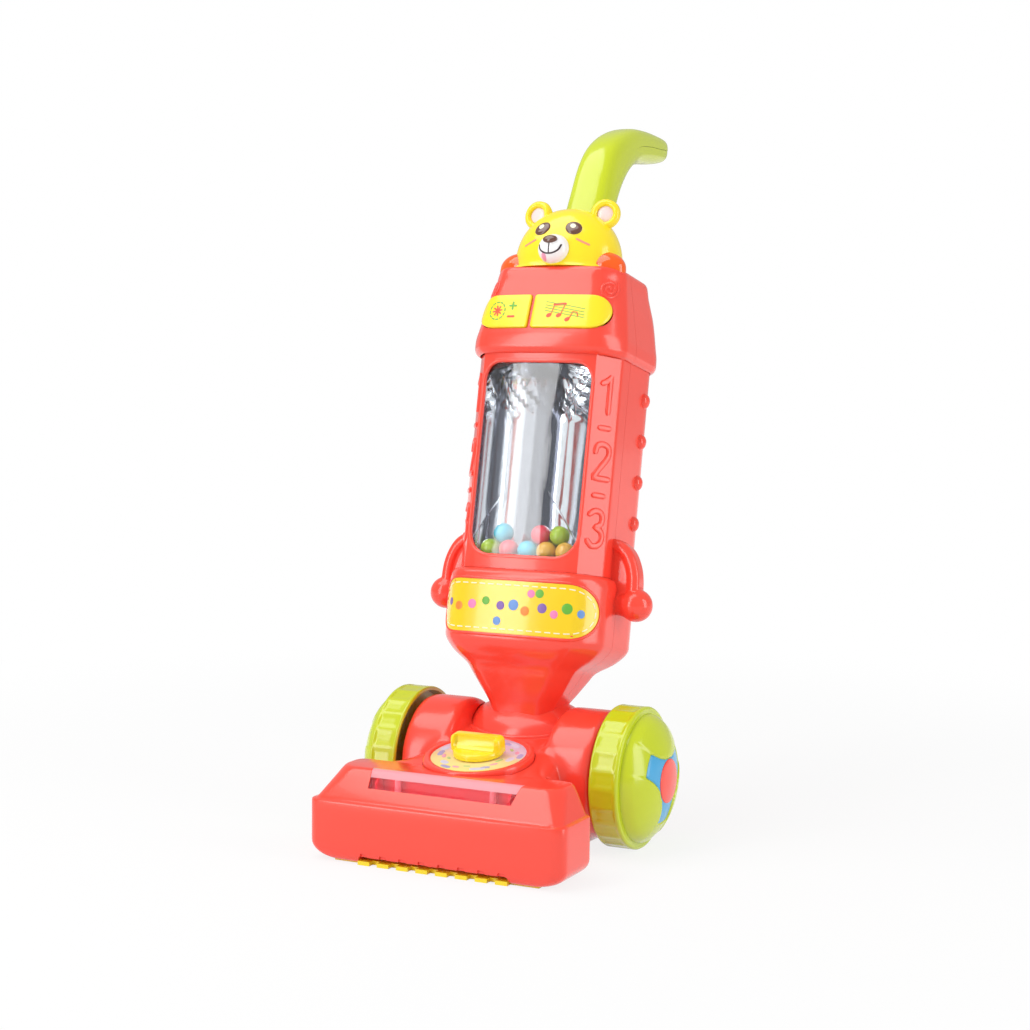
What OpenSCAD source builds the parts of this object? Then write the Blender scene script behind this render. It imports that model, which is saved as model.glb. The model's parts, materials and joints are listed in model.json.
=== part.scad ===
// Toy upright vacuum cleaner: a floor nozzle on two wheels and a tilting body with a bead chamber.
// Millimetres, +Z up, front towards -Y, standing on Z = 0 with the origin under the middle of the model.

/* [Walls and clearances] */
// Wall of the moulded shells
wall = 2.4; // [2:0.1:2.8]
// Space between a moving piece and its neighbours
gap = 0.5; // [0.4:0.05:0.7]
// Radial play of a pin or shaft in its bore
fit = 0.05; // [0.02:0.01:0.1]
// Space between nested pieces that stay still
seat_gap = 0.15; // [0.1:0.05:0.25]

/* [Wheels] */
// Radius of the tread
wheel_r = 54; // [50:0.5:58]
// Width of the tread
tread_w = 23; // [19:0.5:27]
// Distance of a wheel's inner face inside the end of the nozzle
wheel_set = 21.5; // [18:0.5:24]
// Height of the domed outer face above the tread
dome_h = 21.7; // [18:0.1:25]
// Radius of the dome where it meets the tread
dome_r = 49; // [46:0.5:49.5]
// Radius of the coral hub disc
hub_r = 16.8; // [14:0.2:19]
// Radius of the points of the blue inset
inset_r = 33; // [28:0.5:38]
// Thickness of the inset and of the hub disc
inset_t = 1.4; // [1:0.1:1.6]
// Radius of the stub axles
axle_r = 3; // [2.5:0.25:4]

/* [Base] */
// Width of the floor nozzle
nozzle_w = 207; // [198:1:216]
// Distance from the wheel axis to the nozzle's front face
nozzle_reach = 145; // [141:1:150]
// Height of the front edge of the nozzle
edge_h = 45; // [40:1:50]
// Height of the ridge of the nozzle
ridge_h = 67; // [65:0.5:69]
// Distance from the front face back to the ridge
ridge_run = 22; // [18:1:26]
// Amount by which each end of the ridge is drawn in
ridge_in = 13; // [9:1:17]
// Depth of the nozzle from front to back
nozzle_d = 52; // [48:1:56]
// Amount by which the lower ends of the nozzle are drawn in
skirt_in = 20; // [16:1:23]
// Height of the curved skirt
skirt_h = 14; // [10:1:18]
// Half width of the housing beside the hinge
housing_hw = 57; // [56:0.5:59]
// Radius of the wheel drums
drum_r = 46.5; // [44:0.5:48]
// Thickness of the base plate
plate_t = 3; // [2.5:0.25:4]
// Number of comb teeth on the base plate
teeth = 8; // [6:1:10]

/* [Dial] */
// Distance from the wheel axis forward to the middle of the dial
dial_y = 70; // [68:0.5:72]
// Radius of the dial dish
dial_r = 42; // [38:0.5:44]
// Height of the dish above the deck
dial_h = 5; // [3:0.5:7]
// Length of the knob's bar
knob_l = 42; // [34:1:48]
// Height of the knob
knob_h = 15; // [11:0.5:18]
// Radius of the knob's round base
knob_r = 19; // [16:0.5:21]
// Radius of the knob's shaft
shaft_r = 5; // [4:0.25:6]

/* [Hinge] */
// Distance from the wheel axis back to the hinge pin
hinge_y = 18; // [16:0.5:20]
// Height of the hinge pin
hinge_z = 62; // [60:0.5:64]
// Largest radius of the neck's barrel
foot_r = 44; // [43:0.25:44.5]
// Length of the barrel
foot_w = 90; // [86:0.5:91]
// Drop of the barrel's crown towards its ends
foot_crown = 13; // [11:0.5:15]
// Radius of the hinge pin
pin_r = 4; // [3:0.25:5]
// Angle at which the body leans back
lean = 11; // [8:0.5:14]

/* [Body] */
// Height of the narrowest part of the neck above the pin
waist_z = 35; // [33:0.5:37]
// Height of the top of the funnel above the pin
funnel_z = 63; // [60:0.5:66]
// Height of the top of the lower casing above the pin
casing_z = 138; // [134:0.5:142]
// Length of the tube
tube_l = 170; // [160:1:190]
// Height of the cap
cap_h = 72; // [70:0.5:75]
// Width of the tube
tube_w = 124; // [121:0.5:127]
// Distance from the body's axis to the flat of the tube's front
tube_front = 48; // [47:0.25:50]
// Distance from the body's axis to the tube's back
tube_back = 46; // [44:0.5:48]
// Radius of the tube's corners
tube_corner = 23; // [20:0.5:25]
// Step from the tube out to the lower casing
casing_step = 6; // [4:0.25:8]
// Step from the tube out to the rim of the cap
cap_step = 4; // [3:0.25:6]
// Amount by which the top of the cap is drawn in from the tube
cap_draw = 9; // [7.5:0.25:10.5]
// Bulge of the front and back faces
crown = 5; // [3:0.25:6]
// Margin between the window and the sides of the tube
window_side = 14.5; // [13.5:0.25:18]
// Margin between the window and the ends of the tube
window_margin = 9; // [8:0.5:12]
// Radius of the window's corners
window_corner = 15; // [10:0.5:20]
// Thickness of the clear lens
lens_t = 1.6; // [1.2:0.1:2]

/* [Buttons and label] */
// Margin between the buttons and the sides of the cap
button_end = 11; // [10:0.25:14]
// Height of the buttons
button_h = 28; // [24:0.5:30]
// Place of the split between the buttons
split_x = -8.5; // [-12:0.5:0]
// Width of the split
split_w = 3; // [2.5:0.25:4]
// Height to which the buttons stand proud
button_proud = 2.2; // [1.8:0.1:2.6]
// Travel of a button
button_travel = 1.6; // [1:0.1:1.7]
// Margin between the label and the sides of the casing
label_end = 2; // [1:0.25:8]
// Height of the label
label_h = 41; // [36:0.5:43]
// Thickness of the label
label_t = 0.8; // [0.6:0.1:1]

/* [Head and lamps] */
// Margin between the bear's head and the sides of the cap's top
head_side = 10; // [9:0.25:12]
// Half depth of the bear's head
head_hd = 31; // [29:0.5:32]
// Height of the bear's head
head_h = 53; // [50:0.5:56]
// Radius of an ear
ear_r = 11.5; // [10:0.25:13]
// Radius of the muzzle
muzzle_r = 12.5; // [11:0.25:13]
// Radius of a lamp lens
lamp_r = 15.5; // [14:0.25:16]

/* [Handle] */
// Radius of the handle at its foot
grip_r = 18.5; // [17:0.25:19]
// Rise of the handle above the cap
grip_rise = 152; // [145:1:165]
// Reach of the handle behind its foot
grip_reach = 146; // [135:1:160]

/* [Inside] */
// Diameter of a cell
cell_d = 14.5; // [14.3:0.05:14.5]
// Length of a cell
cell_l = 50.5; // [50:0.1:51]
// Radius of the fan
fan_r = 26; // [22:0.5:28]
// Radius of the motor
motor_r = 12; // [10:0.25:13]
// Radius of a small screw's shank
screw_r = 1.5; // [1.25:0.05:1.75]

/* [Hidden] */
$fn = 48;
eps = 0.01;
CORAL = [1, 0.36, 0.31];
LIME = [0.8, 0.86, 0.14];
YELLOW = [1, 0.88, 0.14];
BLUE = [0.33, 0.7, 0.88];
STEEL = "silver";

// Widths that follow from the tube and the nozzle
track = nozzle_w - 2 * wheel_set;
casing_w = tube_w + 2 * casing_step;
cap_w = tube_w + 2 * cap_step;
cap_top_w = tube_w - 2 * cap_draw;
window_w = tube_w - 2 * window_side;
button_l = cap_w - 2 * button_end;
label_l = casing_w - 2 * label_end;
head_hw = cap_top_w / 2 - head_side;

// Heights along the body, measured from the hinge pin
neck_z = foot_r + 2;
tube_z = casing_z;
cap_z = tube_z + tube_l;
top_z = cap_z + cap_h;
seam_y = -13;
deck_t = 4;

// Sections of the body: height, half width, front, back, corner radius, bulge
waist = [waist_z, 28, -33, 9, 12, 2];
funnel = [funnel_z, 46, -45, 21, 17, 2];
casing = [funnel_z + 23, casing_w / 2, -tube_front - 7, tube_back - 4, tube_corner + 4, crown];
tube = [tube_z, tube_w / 2, -tube_front, tube_back, tube_corner, crown];
cap_rim = [cap_z, cap_w / 2, -tube_front - 5, tube_back + 3, tube_corner + 1, crown];
cap_top = [top_z - deck_t, cap_top_w / 2, -tube_front + 8, tube_back - 13, tube_corner - 3, crown - 2];

function mix(a, b, t) = a + (b - a) * t;
function lift(s, z) = concat([z], [for (i = [1:5]) s[i]]);
function grow(s, o) = [s[0], s[1] + o, s[2] - o, s[3] + o, max(s[4] + o, 1), s[5]];
// Section of a list of sections at a height
function at(list, z, k = 0) = z <= list[k + 1][0] || k == len(list) - 2
    ? mix(list[k], list[k + 1], (z - list[k][0]) / (list[k + 1][0] - list[k][0]))
    : at(list, z, k + 1);

neck_list = [lift(mix(waist, funnel, -0.25), foot_r / 2), waist, funnel];
lower_list = [
    at(neck_list, neck_z),
    funnel,
    lift(mix(funnel, casing, 0.55), funnel_z + 9),
    lift(mix(funnel, casing, 0.9), funnel_z + 17),
    casing,
    lift(casing, tube_z - 8),
    lift(mix(casing, tube, 0.35), tube_z - 1.5),
    lift(mix(casing, tube, 0.9), tube_z)
];
tube_list = [tube, lift(tube, cap_z)];
band_z = cap_z + 13;
cap_mid = mix(cap_rim, cap_top, 0.42);
cap_band = lift(cap_rim, band_z);
cap_slope = [
    mix(band_z, top_z, 0.5), cap_mid[1], mix(cap_rim[2], cap_top[2], 0.5), cap_rim[3] - 2, cap_mid[4], crown];
cap_list = [
    lift(mix(cap_rim, tube, 0.85), cap_z),
    lift(mix(cap_rim, tube, 0.3), cap_z + 2),
    lift(cap_rim, cap_z + 5),
    cap_band,
    cap_slope,
    [top_z - deck_t - 6, cap_top[1] + 2.5, cap_top[2] - 2, cap_top[3] + 3.5, cap_top[4] + 2, crown - 1],
    lift(cap_top, top_z - deck_t - seat_gap)
];

// Outline of a section, as two halves that meet at the seam
corner_steps = 6;
span_steps = 6;
function bulge(p, s, side) = [p[0], p[1] + side * s[5] * (1 - pow(p[0] / s[1], 2))];
function corner(x, y, r, from) = [for (i = [0:corner_steps])
    let (t = from + 90 * i / corner_steps) [x + r * cos(t), y + r * sin(t)]];
function span(x, y) = [for (i = [1:span_steps - 1]) [x * (2 * i / span_steps - 1), y]];
function front_half(s) = let (x = s[1] - s[4], y = s[2] + s[4]) concat(
    [[-s[1], seam_y]],
    [for (p = concat(corner(-x, y, s[4], 180), span(x, s[2]), corner(x, y, s[4], 270))) bulge(p, s, -1)],
    [[s[1], seam_y]]);
function rear_half(s) = let (x = s[1] - s[4], y = s[3] - s[4]) concat(
    [[s[1], seam_y]],
    [for (p = concat(corner(x, y, s[4], 0), span(-x, s[3]), corner(-x, y, s[4], 90))) bulge(p, s, 1)],
    [[-s[1], seam_y]]);
function outline(s) = let (b = rear_half(s)) concat(front_half(s), [for (i = [1:len(b) - 2]) b[i]]);
function raise(points, z) = [for (p = points) [p[0], p[1], z]];
function back_to_front(list) = [for (i = [len(list) - 1:-1:0]) list[i]];
function fan_faces(n) = [for (i = [1:n - 2]) [0, i, i + 1]];
function strip_faces(n) = [for (i = [0:n - 2])
    each [[i, i + 1, 2 * n - 2 - i], [i, 2 * n - 2 - i, 2 * n - 1 - i]]];

// Closed skin through rings of as many points each, with the faces that close its ends
module skin(rings, ends) {
    n = len(rings[0]);
    last = (len(rings) - 1) * n;
    sides = [for (k = [0:len(rings) - 2]) for (i = [0:n - 1])
        let (a = k * n + i, b = k * n + (i + 1) % n)
        each [[a, a + n, b + n], [a, b + n, b]]];
    tops = [for (f = ends) [f[2] + last, f[1] + last, f[0] + last]];
    polyhedron([for (r = rings) each r], concat(sides, ends, tops), convexity = 6);
}

// Solid through the sections of a list, grown by o all round
module loft(list, o = 0) {
    rings = [for (s = list) raise(outline(grow(s, o)), s[0])];
    skin(rings, fan_faces(len(rings[0])));
}

// Half of a shell through the sections of a list, between two offsets
module half_loft(list, outer, inner, front) {
    rings = [for (s = list) let (
        a = front ? front_half(grow(s, outer)) : rear_half(grow(s, outer)),
        b = front ? front_half(grow(s, inner)) : rear_half(grow(s, inner)))
        raise(concat(a, back_to_front(b)), s[0])];
    skin(rings, strip_faces(len(rings[0]) / 2));
}

// Turns a shape modelled round Z so that its axis lies along X
module along_x() rotate([0, 90, 0]) children();
module both_sides() for (side = [0, 1]) mirror([side, 0, 0]) children();
module rod(r, from, to) translate([0, 0, from]) cylinder(r = r, h = to - from);

// Flat outline in X and Z, extruded backwards from y
module plate_xz(y, t) translate([0, y + t, 0]) rotate([90, 0, 0]) linear_extrude(t) children();
module stadium(l, h) {
    square([l - h, h], center = true);
    for (side = [-1, 1]) translate([side * (l - h) / 2, 0]) circle(r = h / 2);
}
module round_rect(w, h, r) {
    square([w - 2 * r, h], center = true);
    square([w, h - 2 * r], center = true);
    for (x = [-1, 1], z = [-1, 1]) translate([x * (w / 2 - r), z * (h / 2 - r)]) circle(r = r);
}

// Stations along the handle: distance behind the axis, height, radius
grip_y = 11;
grip_path = [
    [grip_y - 1, top_z - 14, grip_r - 1.5],
    [grip_y, top_z + eps, grip_r],
    [grip_y + 2, top_z + 0.17 * grip_rise, grip_r],
    [grip_y + 0.08 * grip_reach, top_z + 0.42 * grip_rise, grip_r - 0.5],
    [grip_y + 0.16 * grip_reach, top_z + 0.6 * grip_rise, grip_r - 1],
    [grip_y + 0.28 * grip_reach, top_z + 0.75 * grip_rise, grip_r - 1.7],
    [grip_y + 0.43 * grip_reach, top_z + 0.855 * grip_rise, grip_r - 2.7],
    [grip_y + 0.6 * grip_reach, top_z + 0.91 * grip_rise, grip_r - 4],
    [grip_y + 0.78 * grip_reach, top_z + 0.95 * grip_rise, grip_r - 6],
    [grip_y + 0.93 * grip_reach, top_z + 0.985 * grip_rise, grip_r - 9.5],
    [grip_y + grip_reach, top_z + grip_rise, grip_r - 14]
];
grip_last = len(grip_path) - 1;
grip_steps = 10;
function heading(i) = let (
    a = grip_path[max(i - 1, 0)],
    b = grip_path[min(i + 1, grip_last)],
    l = norm([b[0] - a[0], b[1] - a[1]])) [(b[0] - a[0]) / l, (b[1] - a[1]) / l];
function grip_arc(i, o, from, turn) = let (c = grip_path[i], d = heading(i), r = max(c[2] + o, 1.2))
    [for (k = [0:grip_steps]) let (t = from + turn * k / grip_steps)
        [r * sin(t), c[0] - r * cos(t) * d[1], c[1] + r * cos(t) * d[0]]];
module grip_half(from) {
    rings = [for (i = [0:grip_last])
        concat(grip_arc(i, 0, from, 180), back_to_front(grip_arc(i, -wall, from, 180)))];
    skin(rings, strip_faces(grip_steps + 1));
}
module grip_solid(o) {
    rings = [for (i = [0:grip_last]) let (front = grip_arc(i, o, -90, 180), rear = grip_arc(i, o, 90, 180))
        concat(front, [for (k = [1:grip_steps - 1]) rear[k]])];
    skin(rings, fan_faces(2 * grip_steps));
}

// The tip of the handle is the hindmost point, and the whole is centred between it and the nozzle
tip = grip_path[grip_last];
tip_back = hinge_y + tip[0] * cos(lean) + tip[1] * sin(lean) + tip[2] * (
    abs(heading(grip_last)[1]) * cos(lean) - heading(grip_last)[0] * sin(lean));
y_shift = (nozzle_reach - tip_back) / 2;
module on_base() translate([0, y_shift, 0]) children();
module on_body() translate([0, y_shift + hinge_y, hinge_z]) rotate([-lean, 0, 0]) children();

// Wheels, modelled round Z with the outer face upwards
wheel_in = track / 2;
wheel_out = wheel_in + tread_w;
dome_c = (wheel_out * wheel_out + dome_r * dome_r - pow(wheel_out + dome_h, 2)) / (-2 * dome_h);
ball_r = wheel_out + dome_h - dome_c;
hub_wall = 3.5;
web_in = 9;
axle_in = foot_w / 2 + 8;
axle_out = wheel_out + 8;
nut_t = 1.2;
module dome_zone(r) intersection() {
    translate([0, 0, dome_c]) sphere(r = r, $fn = 96);
    rod(dome_r, wheel_out - eps, wheel_out + dome_h + 2);
}
// Three-pointed plate with hollow sides
module star(o) {
    reach = inset_r * 1.72;
    difference() {
        circle(r = inset_r + o);
        for (k = [0:2]) rotate(60 + 120 * k) translate([reach, 0]) circle(r = reach - hub_r - 0.5 - o);
    }
}
module star_zone(o, from, to) translate([0, 0, from]) linear_extrude(to - from) star(o);
module wheel_body() {
    difference() {
        union() {
            rod(wheel_r, wheel_in, wheel_out);
            dome_zone(ball_r);
        }
        difference() {
            union() {
                rod(wheel_r - hub_wall, wheel_in - 1, wheel_out - hub_wall);
                intersection() {
                    translate([0, 0, dome_c]) sphere(r = ball_r - hub_wall - inset_t, $fn = 96);
                    rod(dome_r - hub_wall, wheel_out - 2 * hub_wall, wheel_out + dome_h);
                }
            }
            rod(axle_r + 3.5, wheel_in, wheel_out + 4);
            rod(wheel_r, wheel_in + web_in, wheel_in + web_in + hub_wall);
        }
        rod(axle_r + fit, wheel_in - 1, axle_out + nut_t + 1);
        difference() {
            star_zone(seat_gap, wheel_out, wheel_out + dome_h + 2);
            translate([0, 0, dome_c]) sphere(r = ball_r - inset_t, $fn = 96);
        }
    }
}
module wheel_inset() difference() {
    intersection() {
        star_zone(0, wheel_out, wheel_out + dome_h + 2);
        translate([0, 0, dome_c]) sphere(r = ball_r, $fn = 96);
    }
    translate([0, 0, dome_c]) sphere(r = ball_r - inset_t + seat_gap, $fn = 96);
    rod(hub_r + seat_gap, wheel_out, wheel_out + dome_h + 2);
}
module wheel_hub() difference() {
    intersection() {
        rod(hub_r, wheel_out, wheel_out + dome_h + 2);
        translate([0, 0, dome_c]) sphere(r = ball_r, $fn = 96);
    }
    translate([0, 0, dome_c]) sphere(r = ball_r - inset_t + seat_gap, $fn = 96);
}
module at_wheel(side) on_base() translate([0, 0, wheel_r]) rotate([0, side * 90, 0]) children();

module wheel_left() color(LIME) at_wheel(-1) wheel_body();
module wheel_right() color(LIME) at_wheel(1) wheel_body();
module wheel_inset_left() color(BLUE) at_wheel(-1) wheel_inset();
module wheel_inset_right() color(BLUE) at_wheel(1) wheel_inset();
module wheel_hub_left() color(CORAL) at_wheel(-1) wheel_hub();
module wheel_hub_right() color(CORAL) at_wheel(1) wheel_hub();
module axles() color(STEEL) for (side = [-1, 1]) at_wheel(side) rod(axle_r, axle_in, axle_out);
module axle_nuts() color(STEEL) for (side = [-1, 1]) at_wheel(side) difference() {
    rod(axle_r + 2.5, wheel_out + 4 + seat_gap, wheel_out + 4 + seat_gap + nut_t);
    rod(axle_r + fit, wheel_out, axle_out);
}

// Barrel of the neck and its socket, modelled round Z and turned along X
crown_r = (pow(foot_w / 2, 2) + foot_crown * foot_crown) / (2 * foot_crown);
module barrel(o, half) along_x() rotate_extrude($fn = 96) intersection() {
    translate([foot_r - crown_r, 0]) circle(r = crown_r + o, $fn = 96);
    translate([0, -half]) square([foot_r + o + 1, 2 * half]);
}
module at_hinge() translate([0, hinge_y, hinge_z]) children();

// Nozzle, as the meeting of its side view and its front view, drawn in by o
nozzle_y = -nozzle_reach;
ridge_y = nozzle_y + ridge_run;
nozzle_back = nozzle_y + nozzle_d;
skirt_steps = 5;
skirt_front = 6;
lift_off = 1;
below = -5;
// Quarter of an ellipse from the upright wall down and inwards, with a drop below the floor for a hollow
function skirt(x, run, o, side) = concat(
    [for (i = [0:skirt_steps]) let (t = 90 * i / skirt_steps)
        [x - side * (o + (run - o) * (1 - cos(t))), skirt_h - (skirt_h - lift_off - o) * sin(t)]],
    o > 0 ? [[x - side * run, below]] : []);
module nozzle_side(o) {
    slant = 0.41 * o;
    polygon(concat(
        [[nozzle_back - o, o > 0 ? below : lift_off], [nozzle_back - o, ridge_h - o],
         [ridge_y + slant, ridge_h - o], [nozzle_y + o, edge_h - slant]],
        skirt(nozzle_y, skirt_front, o, -1)));
}
module nozzle_front(o) {
    half = nozzle_w / 2;
    slant = 0.55 * o;
    right = skirt(half, skirt_in, o, 1);
    polygon(concat(
        [[-half + ridge_in + slant, ridge_h - o], [half - ridge_in - slant, ridge_h - o],
         [half - o, edge_h - slant]],
        right, [for (p = back_to_front(right)) [-p[0], p[1]]], [[o - half, edge_h - slant]]));
}
module nozzle(o = 0) intersection() {
    along_x() translate([0, 0, -nozzle_w]) linear_extrude(2 * nozzle_w) rotate(90) nozzle_side(o);
    plate_xz(nozzle_y - 1, nozzle_d + 2) nozzle_front(o);
}

// Housing between the nozzle and the hinge: place, lower and upper half width, top, corner radius
deck_z = ridge_h - 1;
shoulder_z = hinge_z + foot_r - foot_crown - 1;
rear_y = hinge_y + foot_r + 8;
housing_list = [
    [nozzle_back - 14, nozzle_w / 2 - 10, nozzle_w / 2 - 17, deck_z - 3, 8],
    [nozzle_back, nozzle_w / 2 - 12, nozzle_w / 2 - 24, deck_z, 10],
    [-80, mix(housing_hw + 12, nozzle_w / 2 - 12, 0.49), mix(housing_hw - 2, nozzle_w / 2 - 24, 0.286),
        deck_z + 2.5, 12],
    [-60, housing_hw + 12, housing_hw - 2, deck_z + 6, 13],
    [-40, housing_hw + 5, housing_hw - 6, deck_z + 10, 13],
    [-22, housing_hw + 2, housing_hw - 8, deck_z + 14, 12],
    [0, housing_hw, housing_hw - 8, mix(deck_z + 14, shoulder_z, 0.55), 11],
    [hinge_y, housing_hw, housing_hw - 8, shoulder_z, 11],
    [mix(hinge_y, rear_y, 0.5), housing_hw, housing_hw - 8, shoulder_z - 7, 12],
    [rear_y - 8, housing_hw - 3, housing_hw - 11, hinge_z + 14, 12],
    [rear_y, housing_hw - 7, housing_hw - 15, hinge_z, 12]
];
function housing_ring(s, o, low) = let (r = max(s[4] - o, 2), x = s[2] - o - r, z = s[3] - o - r) concat(
    [for (i = [0:corner_steps]) let (t = 90 - 80 * i / corner_steps)
        [x + r * cos(t), s[0], z + r * sin(t)]],
    [[s[1] - o, s[0], low], [o - s[1], s[0], low]],
    [for (i = [0:corner_steps]) let (t = 170 - 80 * i / corner_steps)
        [-x + r * cos(t), s[0], z + r * sin(t)]]);
module housing(o = 0) {
    low = o > 0 ? below : lift_off;
    last = len(housing_list) - 1;
    ends = [for (i = [0:last]) i == last ? concat([housing_list[i][0] - o],
        [for (k = [1:4]) housing_list[i][k]]) : housing_list[i]];
    rings = [for (s = ends) housing_ring(s, o, low)];
    skin(rings, fan_faces(len(rings[0])));
}

drum_in = foot_w / 2 + 2;
drum_out = wheel_in - 2;
boss_r = 4.5;
screw_l = 11;
screw_head_t = 1.2;
screw_sink = 0.3;
boss_places = [[0.36 * nozzle_w, nozzle_y + 34], [38, rear_y - 13]];
socket_gap = gap + 0.3;
cheek = 4.5;
pin_end = foot_w / 2 + gap + cheek;
module drums(o) both_sides() translate([0, 0, wheel_r]) along_x() rod(drum_r - o, drum_in, drum_out - o);
module bosses() both_sides() for (p = boss_places) translate([p[0], p[1], 0])
    rod(boss_r, plate_t, ridge_h + 20);
module boss_bores() both_sides() for (p = boss_places) translate([p[0], p[1], 0])
    rod(screw_r + fit, -1, plate_t + screw_l + 1);
dial_tilt = 9;
dial_sink = 2;
dial_boss = 14;
dial_z = at([for (s = housing_list) [s[0], s[3]]], -dial_y)[1];
module at_dial() translate([0, -dial_y, dial_z]) rotate([dial_tilt, 0, 0]) children();

// Plan of the pink strip over the ridge
strip_top_hw = 62;
strip_low_hw = 58;
strip_back = 4;
strip_run = 11;
module strip(o) translate([0, ridge_y, edge_h]) linear_extrude(ridge_h) polygon([
    [-strip_top_hw - o, strip_back + o], [strip_top_hw + o, strip_back + o],
    [strip_low_hw + o, -strip_run - o], [-strip_low_hw - o, -strip_run - o]]);

comb_w = 128;
comb_rise = 5;
module base_shell() color(CORAL) on_base() difference() {
    union() {
        nozzle();
        housing();
        drums(0);
    }
    difference() {
        union() {
            nozzle(wall);
            housing(wall);
            drums(wall);
        }
        at_hinge() barrel(socket_gap + wall, pin_end);
        bosses();
        both_sides() translate([0, 0, wheel_r]) along_x() rod(axle_r + 4, foot_w / 2 + gap, drum_out);
        at_dial() rod(shaft_r + 5, -dial_boss, 0);
        at_dial() rod(dial_r + wall, -dial_sink - wall, 0);
    }
    at_hinge() barrel(socket_gap, foot_w / 2 + gap);
    at_hinge() along_x() rod(pin_r + fit, -pin_end - 1, pin_end + 1);
    both_sides() translate([0, 0, wheel_r]) along_x() rod(axle_r + fit, axle_in - 1, wheel_in);
    boss_bores();
    strip(seat_gap);
    at_dial() rod(dial_r + seat_gap, -dial_sink, ridge_h);
    at_dial() rod(shaft_r + fit, -dial_boss - 1, 1);
    translate([-comb_w / 2, nozzle_y - 1, -1]) cube([comb_w, 20, comb_rise + 1]);
}

// Yellow underside, with comb teeth under the front edge and a heel behind the wheels
plate_hw = nozzle_w / 2 - skirt_in - 2 * seat_gap;
plate_y = nozzle_y + skirt_front + 2 * seat_gap;
heel_y = rear_y - 12;
// Half width inside the housing at the level of the plate
function floor_hw(s) = mix(s[1], s[2], (plate_t - below) / (s[3] - s[4] - below)) - wall - 2 * seat_gap;
plate_side = concat(
    [[plate_hw, plate_y], [plate_hw, nozzle_back - 4]],
    [for (s = housing_list) if (s[0] > nozzle_back && s[0] < heel_y) [floor_hw(s), s[0]]],
    [[housing_hw - 6, heel_y]]);
tooth_pitch = comb_w / teeth;
module base_plate() color(YELLOW) on_base() difference() {
    union() {
        linear_extrude(plate_t) polygon(concat(
            plate_side, [for (p = back_to_front(plate_side)) [-p[0], p[1]]]));
        for (i = [0:teeth - 1]) translate([(i + 0.5) * tooth_pitch - comb_w / 2, 0, 0])
            translate([-0.3 * tooth_pitch, nozzle_y + 1, 0])
                cube([0.6 * tooth_pitch, skirt_front + 1, plate_t]);
    }
    boss_bores();
    both_sides() for (p = boss_places) translate([p[0], p[1], 0])
        rod(2 * screw_r + seat_gap, -1, screw_sink + screw_head_t);
}
module base_screws() color(STEEL) on_base() both_sides() for (p = boss_places) translate([p[0], p[1], 0]) {
    rod(2 * screw_r, screw_sink, screw_sink + screw_head_t);
    rod(screw_r, screw_sink + screw_head_t - eps, plate_t + screw_l);
}

module nozzle_window() color([0.85, 0.25, 0.4, 0.6]) on_base() intersection() {
    difference() {
        nozzle();
        nozzle(wall);
    }
    strip(0);
}

// Tray under the strip, hung from its flat back edge
tray_hw = strip_low_hw - 3;
tray_y = ridge_y - strip_run + 5;
tray_z = edge_h - 4;
tray_t = 1.6;
tray_d = 12;
module lamp_tray() color([0.7, 0.1, 0.2]) on_base() intersection() {
    difference() {
        translate([-tray_hw, tray_y, tray_z]) cube([2 * tray_hw, tray_d, ridge_h]);
        translate([-tray_hw + tray_t, tray_y - 1, tray_z + tray_t])
            cube([2 * (tray_hw - tray_t), tray_d + 1 - tray_t, ridge_h]);
    }
    nozzle(wall + seat_gap);
}
led_x = 0.67 * strip_low_hw;
led_r = 2.5;
led_h = 10;
module nozzle_leds() color([0.95, 0.95, 0.95, 0.6]) on_base() both_sides()
    translate([led_x, tray_y + tray_d / 2, tray_z + tray_t]) {
        rod(led_r, 0, led_h);
        translate([0, 0, led_h]) sphere(r = led_r);
    }

sticker_t = 0.4;
dial_rim = 4;
dish_z = dial_h - 1;
module dial_disc() color(CORAL) on_base() at_dial() difference() {
    rod(dial_r, -dial_sink + eps, dial_h);
    rod(dial_r - dial_rim, dish_z, dial_h + 1);
    rod(shaft_r + fit, -dial_sink - 1, dial_h + 1);
}
module dial_sticker() color([0.85, 0.75, 0.9]) on_base() at_dial() difference() {
    rod(dial_r - dial_rim - seat_gap, dish_z, dish_z + sticker_t);
    rod(shaft_r + 2, 0, dial_h + 1);
}
knob_z = dish_z + sticker_t + gap;
knob_bar = 15;
knob_foot = 5;
knob_low = -dial_boss - gap;
module dial_knob() color(YELLOW) on_base() at_dial() difference() {
    union() {
        rod(knob_r, knob_z, knob_z + knob_foot);
        translate([0, 0, knob_z + knob_foot - eps]) linear_extrude(knob_h - knob_foot)
            stadium(knob_l, knob_bar);
        rod(shaft_r, knob_low, knob_z + eps);
    }
    rod(screw_r + fit, knob_low - 1, 0);
}
module dial_screw() color(STEEL) on_base() at_dial() {
    rod(shaft_r + 2.5, knob_low - screw_head_t, knob_low);
    rod(screw_r, knob_low - eps, -2);
}

module hinge_pin() color(STEEL) on_base() at_hinge() along_x()
    rod(pin_r, -pin_end, pin_end);

// Neck: a hollow barrel on the pin with the stub that carries the funnel
module neck_foot() color(CORAL) on_body() difference() {
    union() {
        barrel(0, foot_w / 2);
        loft([neck_list[0], waist, at(neck_list, neck_z)]);
    }
    difference() {
        union() {
            barrel(-wall, foot_w / 2 - wall);
            loft([neck_list[0], waist, lift(at(neck_list, neck_z), neck_z + eps)], -wall);
        }
        along_x() rod(pin_r + 3, -foot_w / 2, foot_w / 2);
    }
    along_x() rod(pin_r + fit, -pin_end, pin_end);
}

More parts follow.
